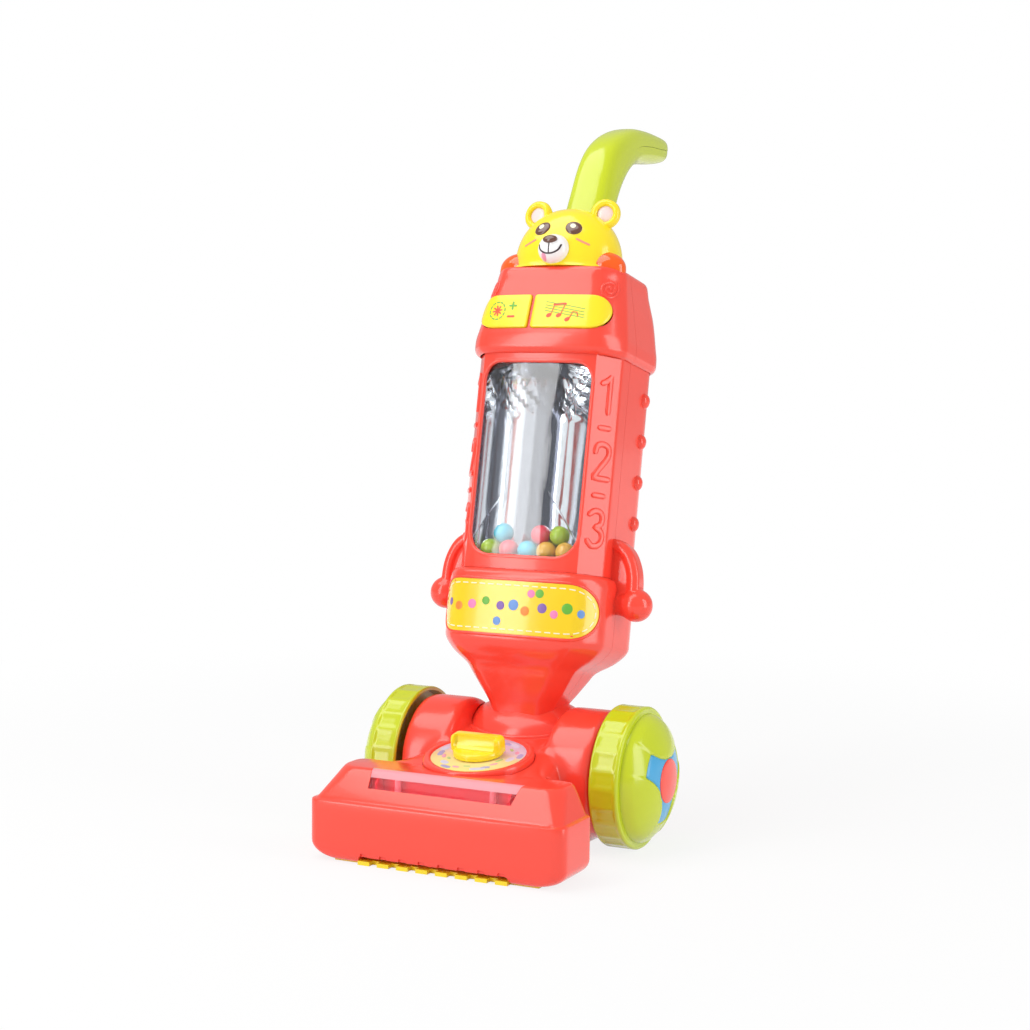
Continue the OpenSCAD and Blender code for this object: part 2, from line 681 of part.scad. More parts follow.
// Battery box at the back of the lower casing, with the cells lying across
box_top = tube_z - 1.5;
cell_pitch = cell_d + 2 * seat_gap;
cell_tip = 1;
cell_tip_r = 2.75;
box_t = 2;
box_head = 8;
box_h = 3 * cell_pitch + box_t + box_head;
box_z = box_top - box_h;
contact_t = 0.5;
box_hw = cell_l / 2 + contact_t + 2 * seat_gap + box_t;
box_y = casing[3] - wall - cell_d - box_t - seat_gap;
cell_y = box_y + box_t + cell_d / 2;
door_hw = box_hw + 2;
door_screw_z = box_top - box_head + screw_r + 1;
door_mid_z = box_z + box_h / 2;
module door_zone(o) plate_xz(0, 3 * tube_back) translate([0, door_mid_z])
    round_rect(2 * door_hw + 2 * o, box_h - 5 + 2 * o, 5 + o);

// Screws at the back that join the rear shells to the front ones
screw_post_r = 4;
back_screw_x = tube_w / 2 - 3 * screw_post_r;
back_screws = [[back_screw_x, tube_z + 20], [back_screw_x, cap_z - 20]];
module screw_line(r, from, to) both_sides() for (p = back_screws) translate([p[0], 0, p[1]])
    rotate([-90, 0, 0]) rod(r, from, to);

module lower_front_shell() color(CORAL) on_body() half_loft(lower_list, 0, -wall, true);
module lower_rear_shell() color(CORAL) on_body() difference() {
    half_loft(lower_list, 0, -wall, false);
    door_zone(seat_gap);
}
module battery_door() color(CORAL) on_body() difference() {
    intersection() {
        half_loft(lower_list, 0, -wall, false);
        door_zone(-seat_gap);
    }
    translate([0, 0, door_screw_z]) rotate([-90, 0, 0]) rod(screw_r + fit, 0, 2 * casing_w);
}
module battery_box() color([0.2, 0.2, 0.22]) on_body() difference() {
    translate([-box_hw, box_y, box_z]) cube([2 * box_hw, cell_d + box_t, box_h]);
    translate([box_t - box_hw, box_y + box_t, box_z + box_t])
        cube([2 * (box_hw - box_t), 2 * cell_d, 3 * cell_pitch]);
    translate([0, 0, door_screw_z]) rotate([-90, 0, 0]) rod(screw_r + fit, box_y + box_t, 2 * casing_w);
}
cell_z0 = box_z + box_t + cell_pitch / 2;
module battery_cells() color([0.25, 0.45, 0.3]) on_body() for (i = [0:2])
    translate([0, cell_y, cell_z0 + i * cell_pitch]) mirror([i % 2, 0, 0]) along_x() union() {
        rod(cell_d / 2, -cell_l / 2, cell_l / 2 - cell_tip);
        rod(cell_tip_r, 0, cell_l / 2);
    }
module battery_contacts() color(STEEL) on_body() both_sides()
    translate([cell_l / 2 + seat_gap, cell_y - cell_d / 3, box_z + box_t + cell_pitch / 4])
        cube([contact_t, cell_d * 2 / 3, 2.5 * cell_pitch]);
module door_screw() color(STEEL) on_body() translate([0, 0, door_screw_z]) rotate([-90, 0, 0])
    rod(screw_r, box_y + box_t + 1, casing[3] + crown - screw_sink);

// Motor and fan below the floor of the bead chamber
motor_y = -20;
window_lo = tube_z + window_margin;
window_hi = cap_z - window_margin + 3;
floor_t = 2.5;
floor_z = window_lo - floor_t - 1;
fan_h = 9;
fan_z = floor_z - fan_h - 2;
fan_shaft_r = 1;
bracket_t = 2.5;
bracket_z = fan_z - bracket_t - 4;
module motor_bracket() color([0.9, 0.9, 0.88]) on_body() difference() {
    loft([lift(casing, bracket_z), lift(casing, bracket_z + bracket_t)], -wall - seat_gap);
    translate([-casing_w, box_y - 1.5, bracket_z - 1]) cube([2 * casing_w, 2 * casing_w, bracket_t + 2]);
    translate([0, motor_y, 0]) rod(4 + fit, bracket_z - 1, bracket_z + bracket_t + 1);
}
module motor() color(STEEL) on_body() translate([0, motor_y, 0]) difference() {
    union() {
        rod(motor_r, bracket_z - 30, bracket_z);
        rod(4, bracket_z - eps, bracket_z + bracket_t);
    }
    rod(fan_shaft_r + fit, bracket_z - 10, bracket_z + bracket_t + 1);
}
module fan() color("white") on_body() translate([0, motor_y, 0]) {
    rod(fan_shaft_r, bracket_z - 8, fan_z + eps);
    rod(5, fan_z, fan_z + fan_h);
    for (k = [0:5]) rotate(60 * k) translate([4, -0.8, fan_z]) cube([fan_r - 4, 1.6, fan_h]);
}

// Bead chamber: a half-round bright trough behind the lens, with its floor
liner_r = window_w / 2 + 1;
liner_t = 1.2;
lens_back = tube_front + crown - wall - seat_gap - lens_t;
liner_y = -tube_front + wall + lens_t + 2.5;
liner_top = cap_z - 2;
module half_disc(r) intersection() {
    circle(r = r, $fn = 96);
    translate([-r - 1, 0]) square([2 * r + 2, r + 1]);
}
module mirror_liner() color("silver") on_body() translate([0, liner_y, 0]) difference() {
    translate([0, 0, floor_z]) linear_extrude(liner_top - floor_z) half_disc(liner_r + liner_t);
    translate([0, 0, floor_z - 1]) linear_extrude(liner_top - floor_z - 1) half_disc(liner_r);
    translate([0, 0, floor_z - 1]) linear_extrude(liner_top - floor_z - 1)
        translate([-liner_r, -1]) square([2 * liner_r, 1.5]);
}
slot_r = 2;
module chamber_floor() color("gainsboro") on_body() translate([0, liner_y, 0]) difference() {
    translate([0, 0, floor_z]) linear_extrude(floor_t) half_disc(liner_r - seat_gap);
    for (k = [-2:2]) translate([14 * k, 14, 0]) rod(slot_r, floor_z - 1, floor_z + floor_t + 1);
}
module window_zone(o) plate_xz(-2 * tube_w, 2 * tube_w) translate([0, (window_lo + window_hi) / 2])
    round_rect(window_w + 2 * o, window_hi - window_lo + 2 * o, window_corner);
lens_lap = 4;
module window_lens() color([0.9, 0.95, 1, 0.3]) on_body() intersection() {
    half_loft([lift(tube, window_lo - lens_lap), lift(tube, window_hi + lens_lap)],
        -wall - seat_gap, -wall - seat_gap - lens_t, true);
    window_zone(lens_lap);
}

// Beads, heaped at the bottom of the trough: row and place in the row, layer by layer
bead_r = liner_r * 0.165;
bead_step = 2 * bead_r + seat_gap;
bead_row = bead_step * sqrt(3) / 2;
bead_rise = bead_step * sqrt(2 / 3);
bead_y0 = -lens_back + bead_r + 3;
bead_z0 = floor_z + floor_t + bead_r + seat_gap;
module bead(x, row, layer) translate([
    bead_step * (x + row / 2 + layer / 2),
    bead_y0 + bead_row * (row + layer / 3),
    bead_z0 + bead_rise * layer]) sphere(r = bead_r);
module beads(list) on_body() for (b = list) bead(b[0], b[1], b[2]);
module beads_lime() color(LIME) beads([[-2, 0, 0], [0, 1, 1], [1, 0, 1], [-2, 2, 0]]);
module beads_teal() color([0.2, 0.7, 0.75]) beads([[0, 0, 0], [-2, 0, 1], [0, 2, 0]]);
module beads_amber() color([0.85, 0.65, 0.2]) beads([[1, 0, 0], [2, 0, 0], [1, 1, 0], [-2, 1, 0]]);
module beads_red() color([0.9, 0.2, 0.3]) beads([[-1, 0, 0], [0, 1, 0], [-1, 1, 0], [-1, 2, 0], [0, 0, 1]]);

// Tube, with a row of studs on each side
stud_r = 6;
stud_pitch = 33;
studs = 4;
stud_y = 22;
module tube_front_shell() color(CORAL) on_body() difference() {
    half_loft(tube_list, 0, -wall, true);
    window_zone(0);
}
module tube_rear_shell() color(CORAL) on_body() difference() {
    union() {
        half_loft(tube_list, 0, -wall, false);
        both_sides() for (i = [0:studs - 1])
            translate([tube_w / 2 - wall, stud_y, tube_z + 40 + i * stud_pitch]) along_x() difference() {
                sphere(r = stud_r);
                rod(stud_r + 1, -stud_r - 1, 0);
            }
        intersection() {
            screw_line(screw_post_r, seam_y + 1, tube_back);
            loft(tube_list, -wall / 2);
        }
    }
    screw_line(screw_r + fit, seam_y, tube_back - 12);
}
module body_screws() color(STEEL) on_body() screw_line(screw_r, seam_y + 2, tube_back - 14);

// Cap, with the button window
button_z = mix(band_z, top_z, 0.33);
button_mid = at(cap_list, button_z);
push_angle = atan2(cap_slope[2] - cap_band[2], cap_slope[0] - cap_band[0]);
module at_button() translate([0, button_mid[2] - crown, button_z]) rotate([-push_angle, 0, 0]) children();
module button_row(o) plate_xz(-20, 50) stadium(button_l + 2 * o, button_h + 2 * o);
module half_space(side) translate([split_x + side * (cap_w + split_w / 2), 0, 0])
    cube(2 * cap_w, center = true);
button_t = 6;
module button(side) color(YELLOW) on_body() intersection() {
    difference() {
        loft(cap_list, button_proud);
        loft(cap_list, -button_t);
    }
    at_button() intersection() {
        button_row(0);
        half_space(side);
    }
}
module button_power() button(-1);
module button_music() button(1);
spring_l = 12;
spring_x = [-0.255 * button_l, 0.235 * button_l];
spring_r = 3;
spring_wire = 0.8;
spring_from = button_t + crown * 0.3 + seat_gap;
board_d = spring_from + spring_l + button_travel;
board_t = 1.6;
board_hw = button_l / 2 - 9;
post_r = 3;
post_x = 0.27 * button_l;
post_z = button_h / 2 + gap + post_r + 1;
module sound_board() color([0.1, 0.45, 0.25]) on_body() at_button()
    translate([-board_hw, board_d, -post_z - post_r]) cube([2 * board_hw, board_t, 2 * (post_z + post_r)]);
module button_springs() color(STEEL) on_body() at_button() for (x = spring_x)
    translate([x, 0, 0]) rotate([-90, 0, 0]) difference() {
        rod(spring_r, spring_from, board_d - seat_gap);
        rod(spring_r - spring_wire, 0, board_d + 1);
    }
speaker_r = 20;
speaker_t = 9;
speaker_rim = 3;
grille_r = 1.8;
speaker_z = mix(cap_z, top_z, 0.4);
speaker_back = cap_rim[3] - wall - 4;
module at_speaker() translate([0, speaker_back, speaker_z]) rotate([90, 0, 0]) children();
module speaker() color([0.15, 0.15, 0.17]) on_body() at_speaker() {
    rod(speaker_r, 0, speaker_rim);
    rod(speaker_r * 0.55, speaker_rim - eps, speaker_t);
}
module cap_front_shell() color(CORAL) on_body() difference() {
    union() {
        half_loft(cap_list, 0, -wall, true);
        intersection() {
            at_button() both_sides() for (z = [-post_z, post_z]) translate([post_x, 0, z]) rotate([-90, 0, 0])
                rod(post_r, 0, board_d - seat_gap);
            loft(cap_list, -wall / 2);
        }
    }
    at_button() button_row(gap);
}
module cap_rear_shell() color(CORAL) on_body() difference() {
    union() {
        half_loft(cap_list, 0, -wall, false);
        intersection() {
            at_speaker() difference() {
                rod(speaker_r + wall, -speaker_r, speaker_rim - 1);
                rod(speaker_r + seat_gap, -eps, speaker_rim);
                rod(speaker_r - wall, -speaker_r - 1, 1);
            }
            loft(cap_list, -wall / 2);
        }
    }
    at_speaker() for (k = [0:6]) rotate(60 * k) translate([k == 6 ? 0 : 5 * grille_r, 0, 0])
        rod(grille_r, -2 * speaker_r, speaker_t);
}
deck_edge = 1.2;
module cap_deck() color(CORAL) on_body() difference() {
    loft([cap_top, lift(cap_top, top_z - deck_edge), lift(grow(cap_top, -deck_edge), top_z)]);
    grip_solid(seat_gap);
}

// Label wrapped round the front of the lower casing
label_z = casing[0] + 0.5 * (tube_z - 8 - casing[0]);
module label_plate() color([0.96, 0.82, 0.12]) on_body() intersection() {
    half_loft([casing, lift(casing, tube_z - 8)], label_t + seat_gap, seat_gap, true);
    plate_xz(-casing_w, casing_w + seam_y) translate([0, label_z]) stadium(label_l, label_h);
}

// Side arms: a flat fin from the tube's side down to a ball on the casing
arm_t = 15;
arm_y = -9;
arm_ball_r = 13;
arm_x = casing_w / 2 + 15;
arm_z = tube_z - 19;
arm_top = tube_z + 28;
arm_round = arm_x - tube_w / 2 + 8;
module arm(side) color(CORAL) on_body() mirror([side < 0 ? 1 : 0, 0, 0]) difference() {
    union() {
        plate_xz(arm_y - arm_t / 2, arm_t) intersection() {
            translate([arm_x - arm_round + 3, arm_top - arm_round]) circle(r = arm_round);
            translate([0, arm_z + 2]) square(2 * arm_x);
        }
        translate([arm_x, arm_y, arm_z]) sphere(r = arm_ball_r);
        translate([0, arm_y, arm_z]) along_x() rod(arm_ball_r - 4, tube_w / 2, arm_x - 4);
    }
    translate([0, arm_y - casing_w, 0]) cube([casing_w / 2 + seat_gap, 2 * casing_w, tube_z + seat_gap]);
    translate([-arm_x, arm_y - casing_w, 0]) cube([arm_x + tube_w / 2 + seat_gap, 2 * casing_w, 2 * tube_z]);
}
module arm_left() arm(-1);
module arm_right() arm(1);

// Bear's head: a hollow dome with two ears, standing on the deck
head_y = -12;
head_steps = 36;
head_full = 8;
function head_scale(h, o) = h <= head_full ? 1
    : sqrt(max(1 - pow((h - head_full) / (head_h + o - head_full), 2), 0));
module head_dome(o, low) {
    levels = [low, 0.15 * head_h, 0.3 * head_h, 0.45 * head_h, 0.6 * head_h, 0.74 * head_h,
        0.86 * head_h, 0.94 * head_h, 0.985 * head_h];
    rings = [for (h = levels) [for (k = [0:head_steps - 1])
        let (t = 360 * k / head_steps, f = head_scale(h, o))
        [(head_hw + o) * f * cos(t), head_y + (head_hd + o) * f * sin(t), top_z + h]]];
    skin(rings, fan_faces(head_steps));
}
ear_x = 0.675 * head_hw;
ear_y = -14;
ear_z = top_z + head_h - 4;
ear_t = 8;
lining_r = 0.63 * ear_r;
lining_t = 0.8;
module at_ear() translate([ear_x, ear_y, ear_z]) rotate([90, 0, 0]) children();
lamp_x = cap_top_w / 2 - lamp_r + 2.5;
lamp_y = -22;
module lamp_dome(o) both_sides() translate([lamp_x, lamp_y, top_z]) intersection() {
    rod(lamp_r + o, 0, lamp_r + o);
    translate([0, 0, 2.5]) sphere(r = lamp_r + o);
}
module bear_head() color(YELLOW) on_body() difference() {
    union() {
        head_dome(0, 0);
        both_sides() at_ear() rod(ear_r, -ear_t / 2, ear_t / 2);
    }
    head_dome(-wall, -1);
    both_sides() at_ear() rod(lining_r + seat_gap, ear_t / 2 - lining_t - seat_gap, ear_t);
    lamp_dome(seat_gap);
    grip_solid(gap);
}
muzzle_y = head_y - head_hd + 4;
muzzle_z = top_z + muzzle_r + 0.5;
module bear_muzzle() color("white") on_body() difference() {
    translate([0, muzzle_y, muzzle_z]) sphere(r = muzzle_r);
    head_dome(seat_gap, 0);
}
eye_x = 0.325 * head_hw;
eye_z = top_z + 0.58 * head_h;
eye_r = 8;
nose_r = 5;
module bear_eyes() color([0.4, 0.25, 0.2]) on_body() {
    difference() {
        both_sides() translate([eye_x, head_y - 0.6 * head_hd, eye_z]) sphere(r = eye_r);
        head_dome(seat_gap, 0);
    }
    difference() {
        translate([0, muzzle_y - 0.75 * muzzle_r, muzzle_z + 0.55 * muzzle_r]) sphere(r = nose_r);
        translate([0, muzzle_y, muzzle_z]) sphere(r = muzzle_r + seat_gap);
    }
}
module bear_ear_linings() color([1, 0.88, 0.88]) on_body() both_sides() at_ear()
    rod(lining_r, ear_t / 2 - lining_t, ear_t / 2 - seat_gap);
lamp_wall = 1.6;
module lamp_lenses() color([1, 0.35, 0.08, 0.8]) on_body() difference() {
    lamp_dome(0);
    translate([0, 0, -eps]) lamp_dome(-lamp_wall);
}
lamp_led_h = 6;
module lamp_leds() color("ivory") on_body() both_sides() translate([lamp_x, lamp_y, top_z]) {
    rod(led_r, 0, lamp_led_h);
    translate([0, 0, lamp_led_h]) sphere(r = led_r);
}

module handle_front() color(LIME) on_body() grip_half(-90);
module handle_rear() color(LIME) on_body() grip_half(90);

base_shell();
base_plate();
nozzle_window();
lamp_tray();
nozzle_leds();
dial_disc();
dial_sticker();
dial_knob();
dial_screw();
axles();
axle_nuts();
hinge_pin();
base_screws();
wheel_left();
wheel_right();
wheel_inset_left();
wheel_inset_right();
wheel_hub_left();
wheel_hub_right();
neck_foot();
lower_front_shell();
lower_rear_shell();
tube_front_shell();
tube_rear_shell();
cap_front_shell();
cap_rear_shell();
cap_deck();
window_lens();
mirror_liner();
chamber_floor();
beads_lime();
beads_teal();
beads_amber();
beads_red();
fan();
motor();
motor_bracket();
battery_box();
battery_cells();
battery_contacts();
battery_door();
door_screw();
sound_board();
speaker();
button_power();
button_music();
button_springs();
label_plate();
arm_left();
arm_right();
bear_head();
bear_muzzle();
bear_eyes();
bear_ear_linings();
lamp_lenses();
lamp_leds();
handle_front();
handle_rear();
body_screws();
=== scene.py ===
"""Toy vacuum cleaner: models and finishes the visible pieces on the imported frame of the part."""

import json
from math import atan2, copysign, cos, dist, hypot, pi, radians, sin, sqrt

import bmesh
import bpy
from mathutils import Matrix, Vector
from mathutils.kdtree import KDTree


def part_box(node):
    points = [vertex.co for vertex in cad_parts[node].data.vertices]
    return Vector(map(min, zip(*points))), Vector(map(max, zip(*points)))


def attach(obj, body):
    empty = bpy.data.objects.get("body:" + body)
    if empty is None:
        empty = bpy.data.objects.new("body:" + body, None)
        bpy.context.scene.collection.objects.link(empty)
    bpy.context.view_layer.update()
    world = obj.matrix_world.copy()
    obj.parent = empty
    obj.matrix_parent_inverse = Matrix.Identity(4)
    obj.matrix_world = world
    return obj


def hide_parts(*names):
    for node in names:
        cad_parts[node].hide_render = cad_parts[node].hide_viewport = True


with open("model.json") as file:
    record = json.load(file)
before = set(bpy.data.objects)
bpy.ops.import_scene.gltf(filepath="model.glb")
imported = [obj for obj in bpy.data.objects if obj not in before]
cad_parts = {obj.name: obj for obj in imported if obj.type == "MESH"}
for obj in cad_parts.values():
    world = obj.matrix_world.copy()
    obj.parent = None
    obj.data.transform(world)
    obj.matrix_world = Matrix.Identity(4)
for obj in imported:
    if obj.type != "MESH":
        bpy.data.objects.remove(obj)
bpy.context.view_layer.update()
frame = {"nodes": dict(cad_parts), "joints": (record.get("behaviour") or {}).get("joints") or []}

bl_info = {
    "name": "Toy Vacuum Cleaner",
    "version": (1, 0, 0),
    "blender": (4, 5, 0),
    "location": "View3D > Sidebar > Vacuum",
    "description": "Models and finishes the visible pieces of a toy vacuum cleaner",
    "category": "Object",
}

# Places taken from the frame. Pieces are modelled in millimetres and carried into it by these matrices.
JOINTS = {j["name"]: j for j in frame["joints"]}
HINGE = Vector(JOINTS["body_tilt"]["pos_m"])
AXLE = Vector(JOINTS["wheel_right_spin"]["pos_m"])
BODY_UP = Vector(JOINTS["fan_spin"]["axis"])
DIAL_UP = Vector(JOINTS["dial_turn"]["axis"])
MM = Matrix.Scale(0.001, 4)
# Radius, or share of a loop, at which a skin is closed in its middle
TIP = 0.02
ALONG_X = Matrix.Rotation(pi / 2, 4, "Y")
LEAN = atan2(BODY_UP.y, BODY_UP.z)
ON_BASE = Matrix.Translation((0, AXLE.y, 0)) @ MM
ON_BODY = Matrix.Translation(HINGE) @ Matrix.Rotation(-LEAN, 4, "X") @ MM
PUSH = JOINTS["music_press"]
PRESS = ON_BODY.to_3x3().inverted() @ Vector(PUSH["axis"]) * PUSH["range_m"][1]
ON_DIAL = (Matrix.Translation(JOINTS["dial_turn"]["pos_m"])
           @ Matrix.Rotation(atan2(-DIAL_UP.y, DIAL_UP.z), 4, "X") @ MM)


def linear(r, g, b):
    """A display colour, 0 to 255, as the linear colour that the shaders use."""
    parts = [c / 255 for c in (r, g, b)]
    return tuple(c / 12.92 if c < 0.04045 else ((c + 0.055) / 1.055) ** 2.4 for c in parts) + (1.0,)


def colour_property(name, about, r, g, b):
    return bpy.props.FloatVectorProperty(
        name=name, description=about, subtype="COLOR", size=4, min=0, max=1, default=linear(r, g, b))


def length_property(name, about, value):
    return bpy.props.FloatProperty(name=name, description=about, subtype="DISTANCE", default=value / 1000)


class VacuumColours(bpy.types.PropertyGroup):
    """Colours of the mouldings, films and beads"""
    coral: colour_property("Coral", "Shells of the body and the base", 252, 74, 56)
    lime: colour_property("Lime", "Wheels and handle", 200, 214, 30)
    yellow: colour_property("Yellow", "Head, buttons, knob and underside", 253, 226, 32)
    blue: colour_property("Blue", "Plates in the wheels", 70, 170, 222)
    pink: colour_property("Pink", "Clear strip over the nozzle", 247, 178, 186)
    crimson: colour_property("Crimson", "Tray below the strip", 232, 8, 60)
    orange: colour_property("Orange", "Lamps beside the head", 250, 94, 8)
    brown: colour_property("Brown", "Eyes and nose", 104, 66, 52)
    white: colour_property("White", "Muzzle and marks", 246, 244, 244)
    blush: colour_property("Blush", "Ear linings and cheeks", 250, 224, 228)


class VacuumSizes(bpy.types.PropertyGroup):
    """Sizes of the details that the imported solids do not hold"""
    flute_depth: length_property("Flute depth", "Depth of the cross flutes on the tread", 0.7)
    groove: length_property("Groove", "Width of the joint lines between shells", 0.3)
    digit_height: length_property("Digit height", "Height of the raised digits", 27)
    print_lift: length_property("Print lift", "Thickness of printed marks", 0.18)


def colour(name):
    return tuple(getattr(bpy.context.scene.vacuum_colours, name))


def size(name):
    """A size in millimetres"""
    return getattr(bpy.context.scene.vacuum_sizes, name) * 1000


# Modelling


def begin(add, name, **how):
    """Adds a primitive with nothing else selected."""
    if bpy.context.object and bpy.context.object.mode != "OBJECT":
        bpy.ops.object.mode_set(mode="OBJECT")
    bpy.ops.object.select_all(action="DESELECT")
    add(**how)
    obj = bpy.context.object
    obj.name = obj.data.name = name
    return obj


def only(obj):
    """Makes obj the one selected and active object."""
    bpy.ops.object.select_all(action="DESELECT")
    obj.select_set(True)
    bpy.context.view_layer.objects.active = obj


def edit(obj, mode="VERT"):
    only(obj)
    bpy.ops.object.mode_set(mode="EDIT")
    bpy.ops.mesh.select_mode(type=mode)
    return bmesh.from_edit_mesh(obj.data)


def leave():
    bpy.ops.object.mode_set(mode="OBJECT")


def face_outwards():
    """Turns all faces of the piece that is being edited outwards and ends its editing."""
    bpy.ops.mesh.select_all(action="SELECT")
    bpy.ops.mesh.normals_make_consistent(inside=False)
    leave()


def move_ring(obj, last, ring):
    """Moves the selected corners, which lie on the last ring, to the same places on the next one."""
    tree = KDTree(len(last))
    for i, p in enumerate(last):
        tree.insert(p, i)
    tree.balance()
    bm = bmesh.from_edit_mesh(obj.data)
    for v in bm.verts:
        if v.select:
            v.co = ring[tree.find(v.co)[1]]
    bmesh.update_edit_mesh(obj.data)


def sweep(name, rings, ends=True):
    """A skin through closed rings: a circle shaped as the first ring, extruded to each of the others."""
    obj = begin(bpy.ops.mesh.primitive_circle_add, name, vertices=len(rings[0]), radius=1)
    for v, p in zip(obj.data.vertices, rings[0]):
        v.co = p
    bpy.ops.object.mode_set(mode="EDIT")
    bpy.ops.mesh.select_mode(type="VERT")
    bpy.ops.mesh.select_all(action="SELECT")
    for last, ring in zip(rings, rings[1:]):
        bpy.ops.mesh.extrude_region()
        move_ring(obj, last, ring)
    bpy.ops.mesh.select_all(action="SELECT")
    if ends:
        bpy.ops.mesh.fill_holes(sides=0)
    bpy.ops.mesh.normals_make_consistent(inside=False)
    leave()
    return obj


def circle(radius, z, steps):
    return [(radius * cos(t), radius * sin(t), z) for t in (2 * pi * k / steps for k in range(steps))]


def lathe(name, profile, steps):
    """A turned piece: a circle drawn out along Z to each radius and height of its profile."""
    return sweep(name, [circle(max(r, TIP), z, steps) for r, z in profile])


def along_y(name, loop, low, high):
    """A block with a loop in X and Z."""
    return sweep(name, [[(x, y, z) for x, z in loop] for y in (low, high)])


def along_z(name, loop, low, high):
    """A block with a loop in X and Y."""
    return sweep(name, [[(x, y, z) for x, y in loop] for z in (low, high)])


def dome(radius, rise, z, angles):
    """Rounded part of a turned profile, about a height, at angles in degrees."""
    return [(radius * cos(t), z + rise * sin(t)) for t in map(radians, angles)]


def modify(obj, kind, **how):
    """Adds a modifier and applies it."""
    only(obj)
    bpy.ops.object.modifier_add(type=kind)
    modifier = obj.modifiers[-1]
    for key, value in how.items():
        setattr(modifier, key, value)
    bpy.ops.object.modifier_apply(modifier=modifier.name)
    return obj


def combine(obj, tool, operation):
    """Cuts obj with a tool, or joins the two into one closed skin, and removes the tool."""
    modify(obj, "BOOLEAN", operation=operation, object=tool, solver="EXACT")
    bpy.data.objects.remove(tool)
    return obj


def soften(obj, width, segments, angle):
    return modify(obj, "BEVEL", width=width, segments=segments, limit_method="ANGLE",
                  angle_limit=radians(angle), use_clamp_overlap=True, harden_normals=False)


def thicken(obj, thickness, offset=-1):
    return modify(obj, "SOLIDIFY", thickness=thickness, offset=offset, use_even_offset=True)


def blend_forms(obj, voxel, rounds):
    """Runs several closed forms into one moulded form with soft inner corners."""
    modify(obj, "REMESH", mode="VOXEL", voxel_size=voxel)
    return modify(obj, "SMOOTH", factor=0.5, iterations=rounds)


def join(objs, name):
    only(objs[0])
    for o in objs:
        o.select_set(True)
    bpy.ops.object.join()
    obj = bpy.context.object
    obj.name = obj.data.name = name
    return obj


def place(obj, matrix):
    """Carries a piece into the frame, so that its place is in its mesh."""
    obj.matrix_world = matrix @ obj.matrix_world
    only(obj)
    bpy.ops.object.transform_apply(location=True, rotation=True, scale=True)
    return obj


def mirrored(obj, name):
    """A copy with its own mesh on the other side of the middle plane."""
    only(obj)
    bpy.ops.object.duplicate()
    copy = bpy.context.object
    copy.name = copy.data.name = name
    bpy.ops.transform.mirror(constraint_axis=(True, False, False), orient_type="GLOBAL",
                             center_override=(0, 0, 0))
    bpy.ops.object.transform_apply(location=True, rotation=True, scale=True)
    edit(copy)
    face_outwards()
    return copy


def give(obj, material, body, slot, *nodes, angle=40):
    """Finishes a piece: smooth shading, its material, the body it rides on and the solids it stands for."""
    only(obj)
    bpy.ops.object.shade_smooth_by_angle(angle=radians(angle))
    obj.data.materials.clear()
    obj.data.materials.append(material)
    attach(obj, body)
    if nodes:
        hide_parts(*nodes)
    return obj


def on_body(obj, material, slot, *nodes, body="upper", angle=40):
    """Carries a piece modelled in the body's axes into the frame and finishes it."""
    return give(place(obj, ON_BODY), material, body, slot, *nodes, angle=angle)


def coral_on_body(obj, *nodes, angle=40):
    return on_body(obj, coral(), "coral_plastic", *nodes, angle=angle)


# Outlines of the body, in its own axes: X to the right, -Y to the front, Z up from the hinge pin


def mix(a, b, t):
    return a + (b - a) * t


def spread(low, high, count):
    return [mix(low, high, k / count) for k in range(count + 1)]


def runs_along(points):
    """Length of a path up to each of its points."""
    runs = [0]
    for p, q in zip(points, points[1:]):
        runs.append(runs[-1] + dist(p, q))
    return runs


def direction(path, i):
    """Direction of an open path at one of its points."""
    a, b = path[max(i - 1, 0)], path[min(i + 1, len(path) - 1)]
    return Vector((b[0] - a[0], b[1] - a[1])).normalized()


def half_oval(u, z, across, up):
    """Round right end of a plate, from below."""
    return [(u + across * cos(t), z + up * sin(t)) for t in (-pi / 2 + pi * k / 24 for k in range(25))]


def ease(t):
    t = min(max(t, 0), 1)
    return t * t * (3 - 2 * t)


def between(rows, z):
    """The row at a height, on a smooth curve through the rows."""
    k = max(i for i in range(len(rows) - 1) if i == 0 or rows[i][0] <= z)
    a, b = rows[k], rows[k + 1]
    span = b[0] - a[0]
    t = (z - a[0]) / span
    before, after = rows[max(k - 1, 0)], rows[min(k + 2, len(rows) - 1)]
    row = [z]
    for i in range(1, len(a)):
        m0 = (b[i] - before[i]) / (b[0] - before[0]) * span if k else (b[i] - a[i])
        m1 = (after[i] - a[i]) / (after[0] - a[0]) * span
        if (b[i] - a[i]) * m0 <= 0:
            m0 = 0
        if (b[i] - a[i]) * m1 <= 0:
            m1 = 0
        row.append((2 * t**3 - 3 * t**2 + 1) * a[i] + (t**3 - 2 * t**2 + t) * m0
                   + (3 * t**2 - 2 * t**3) * b[i] + (t**3 - t**2) * m1)
    return row


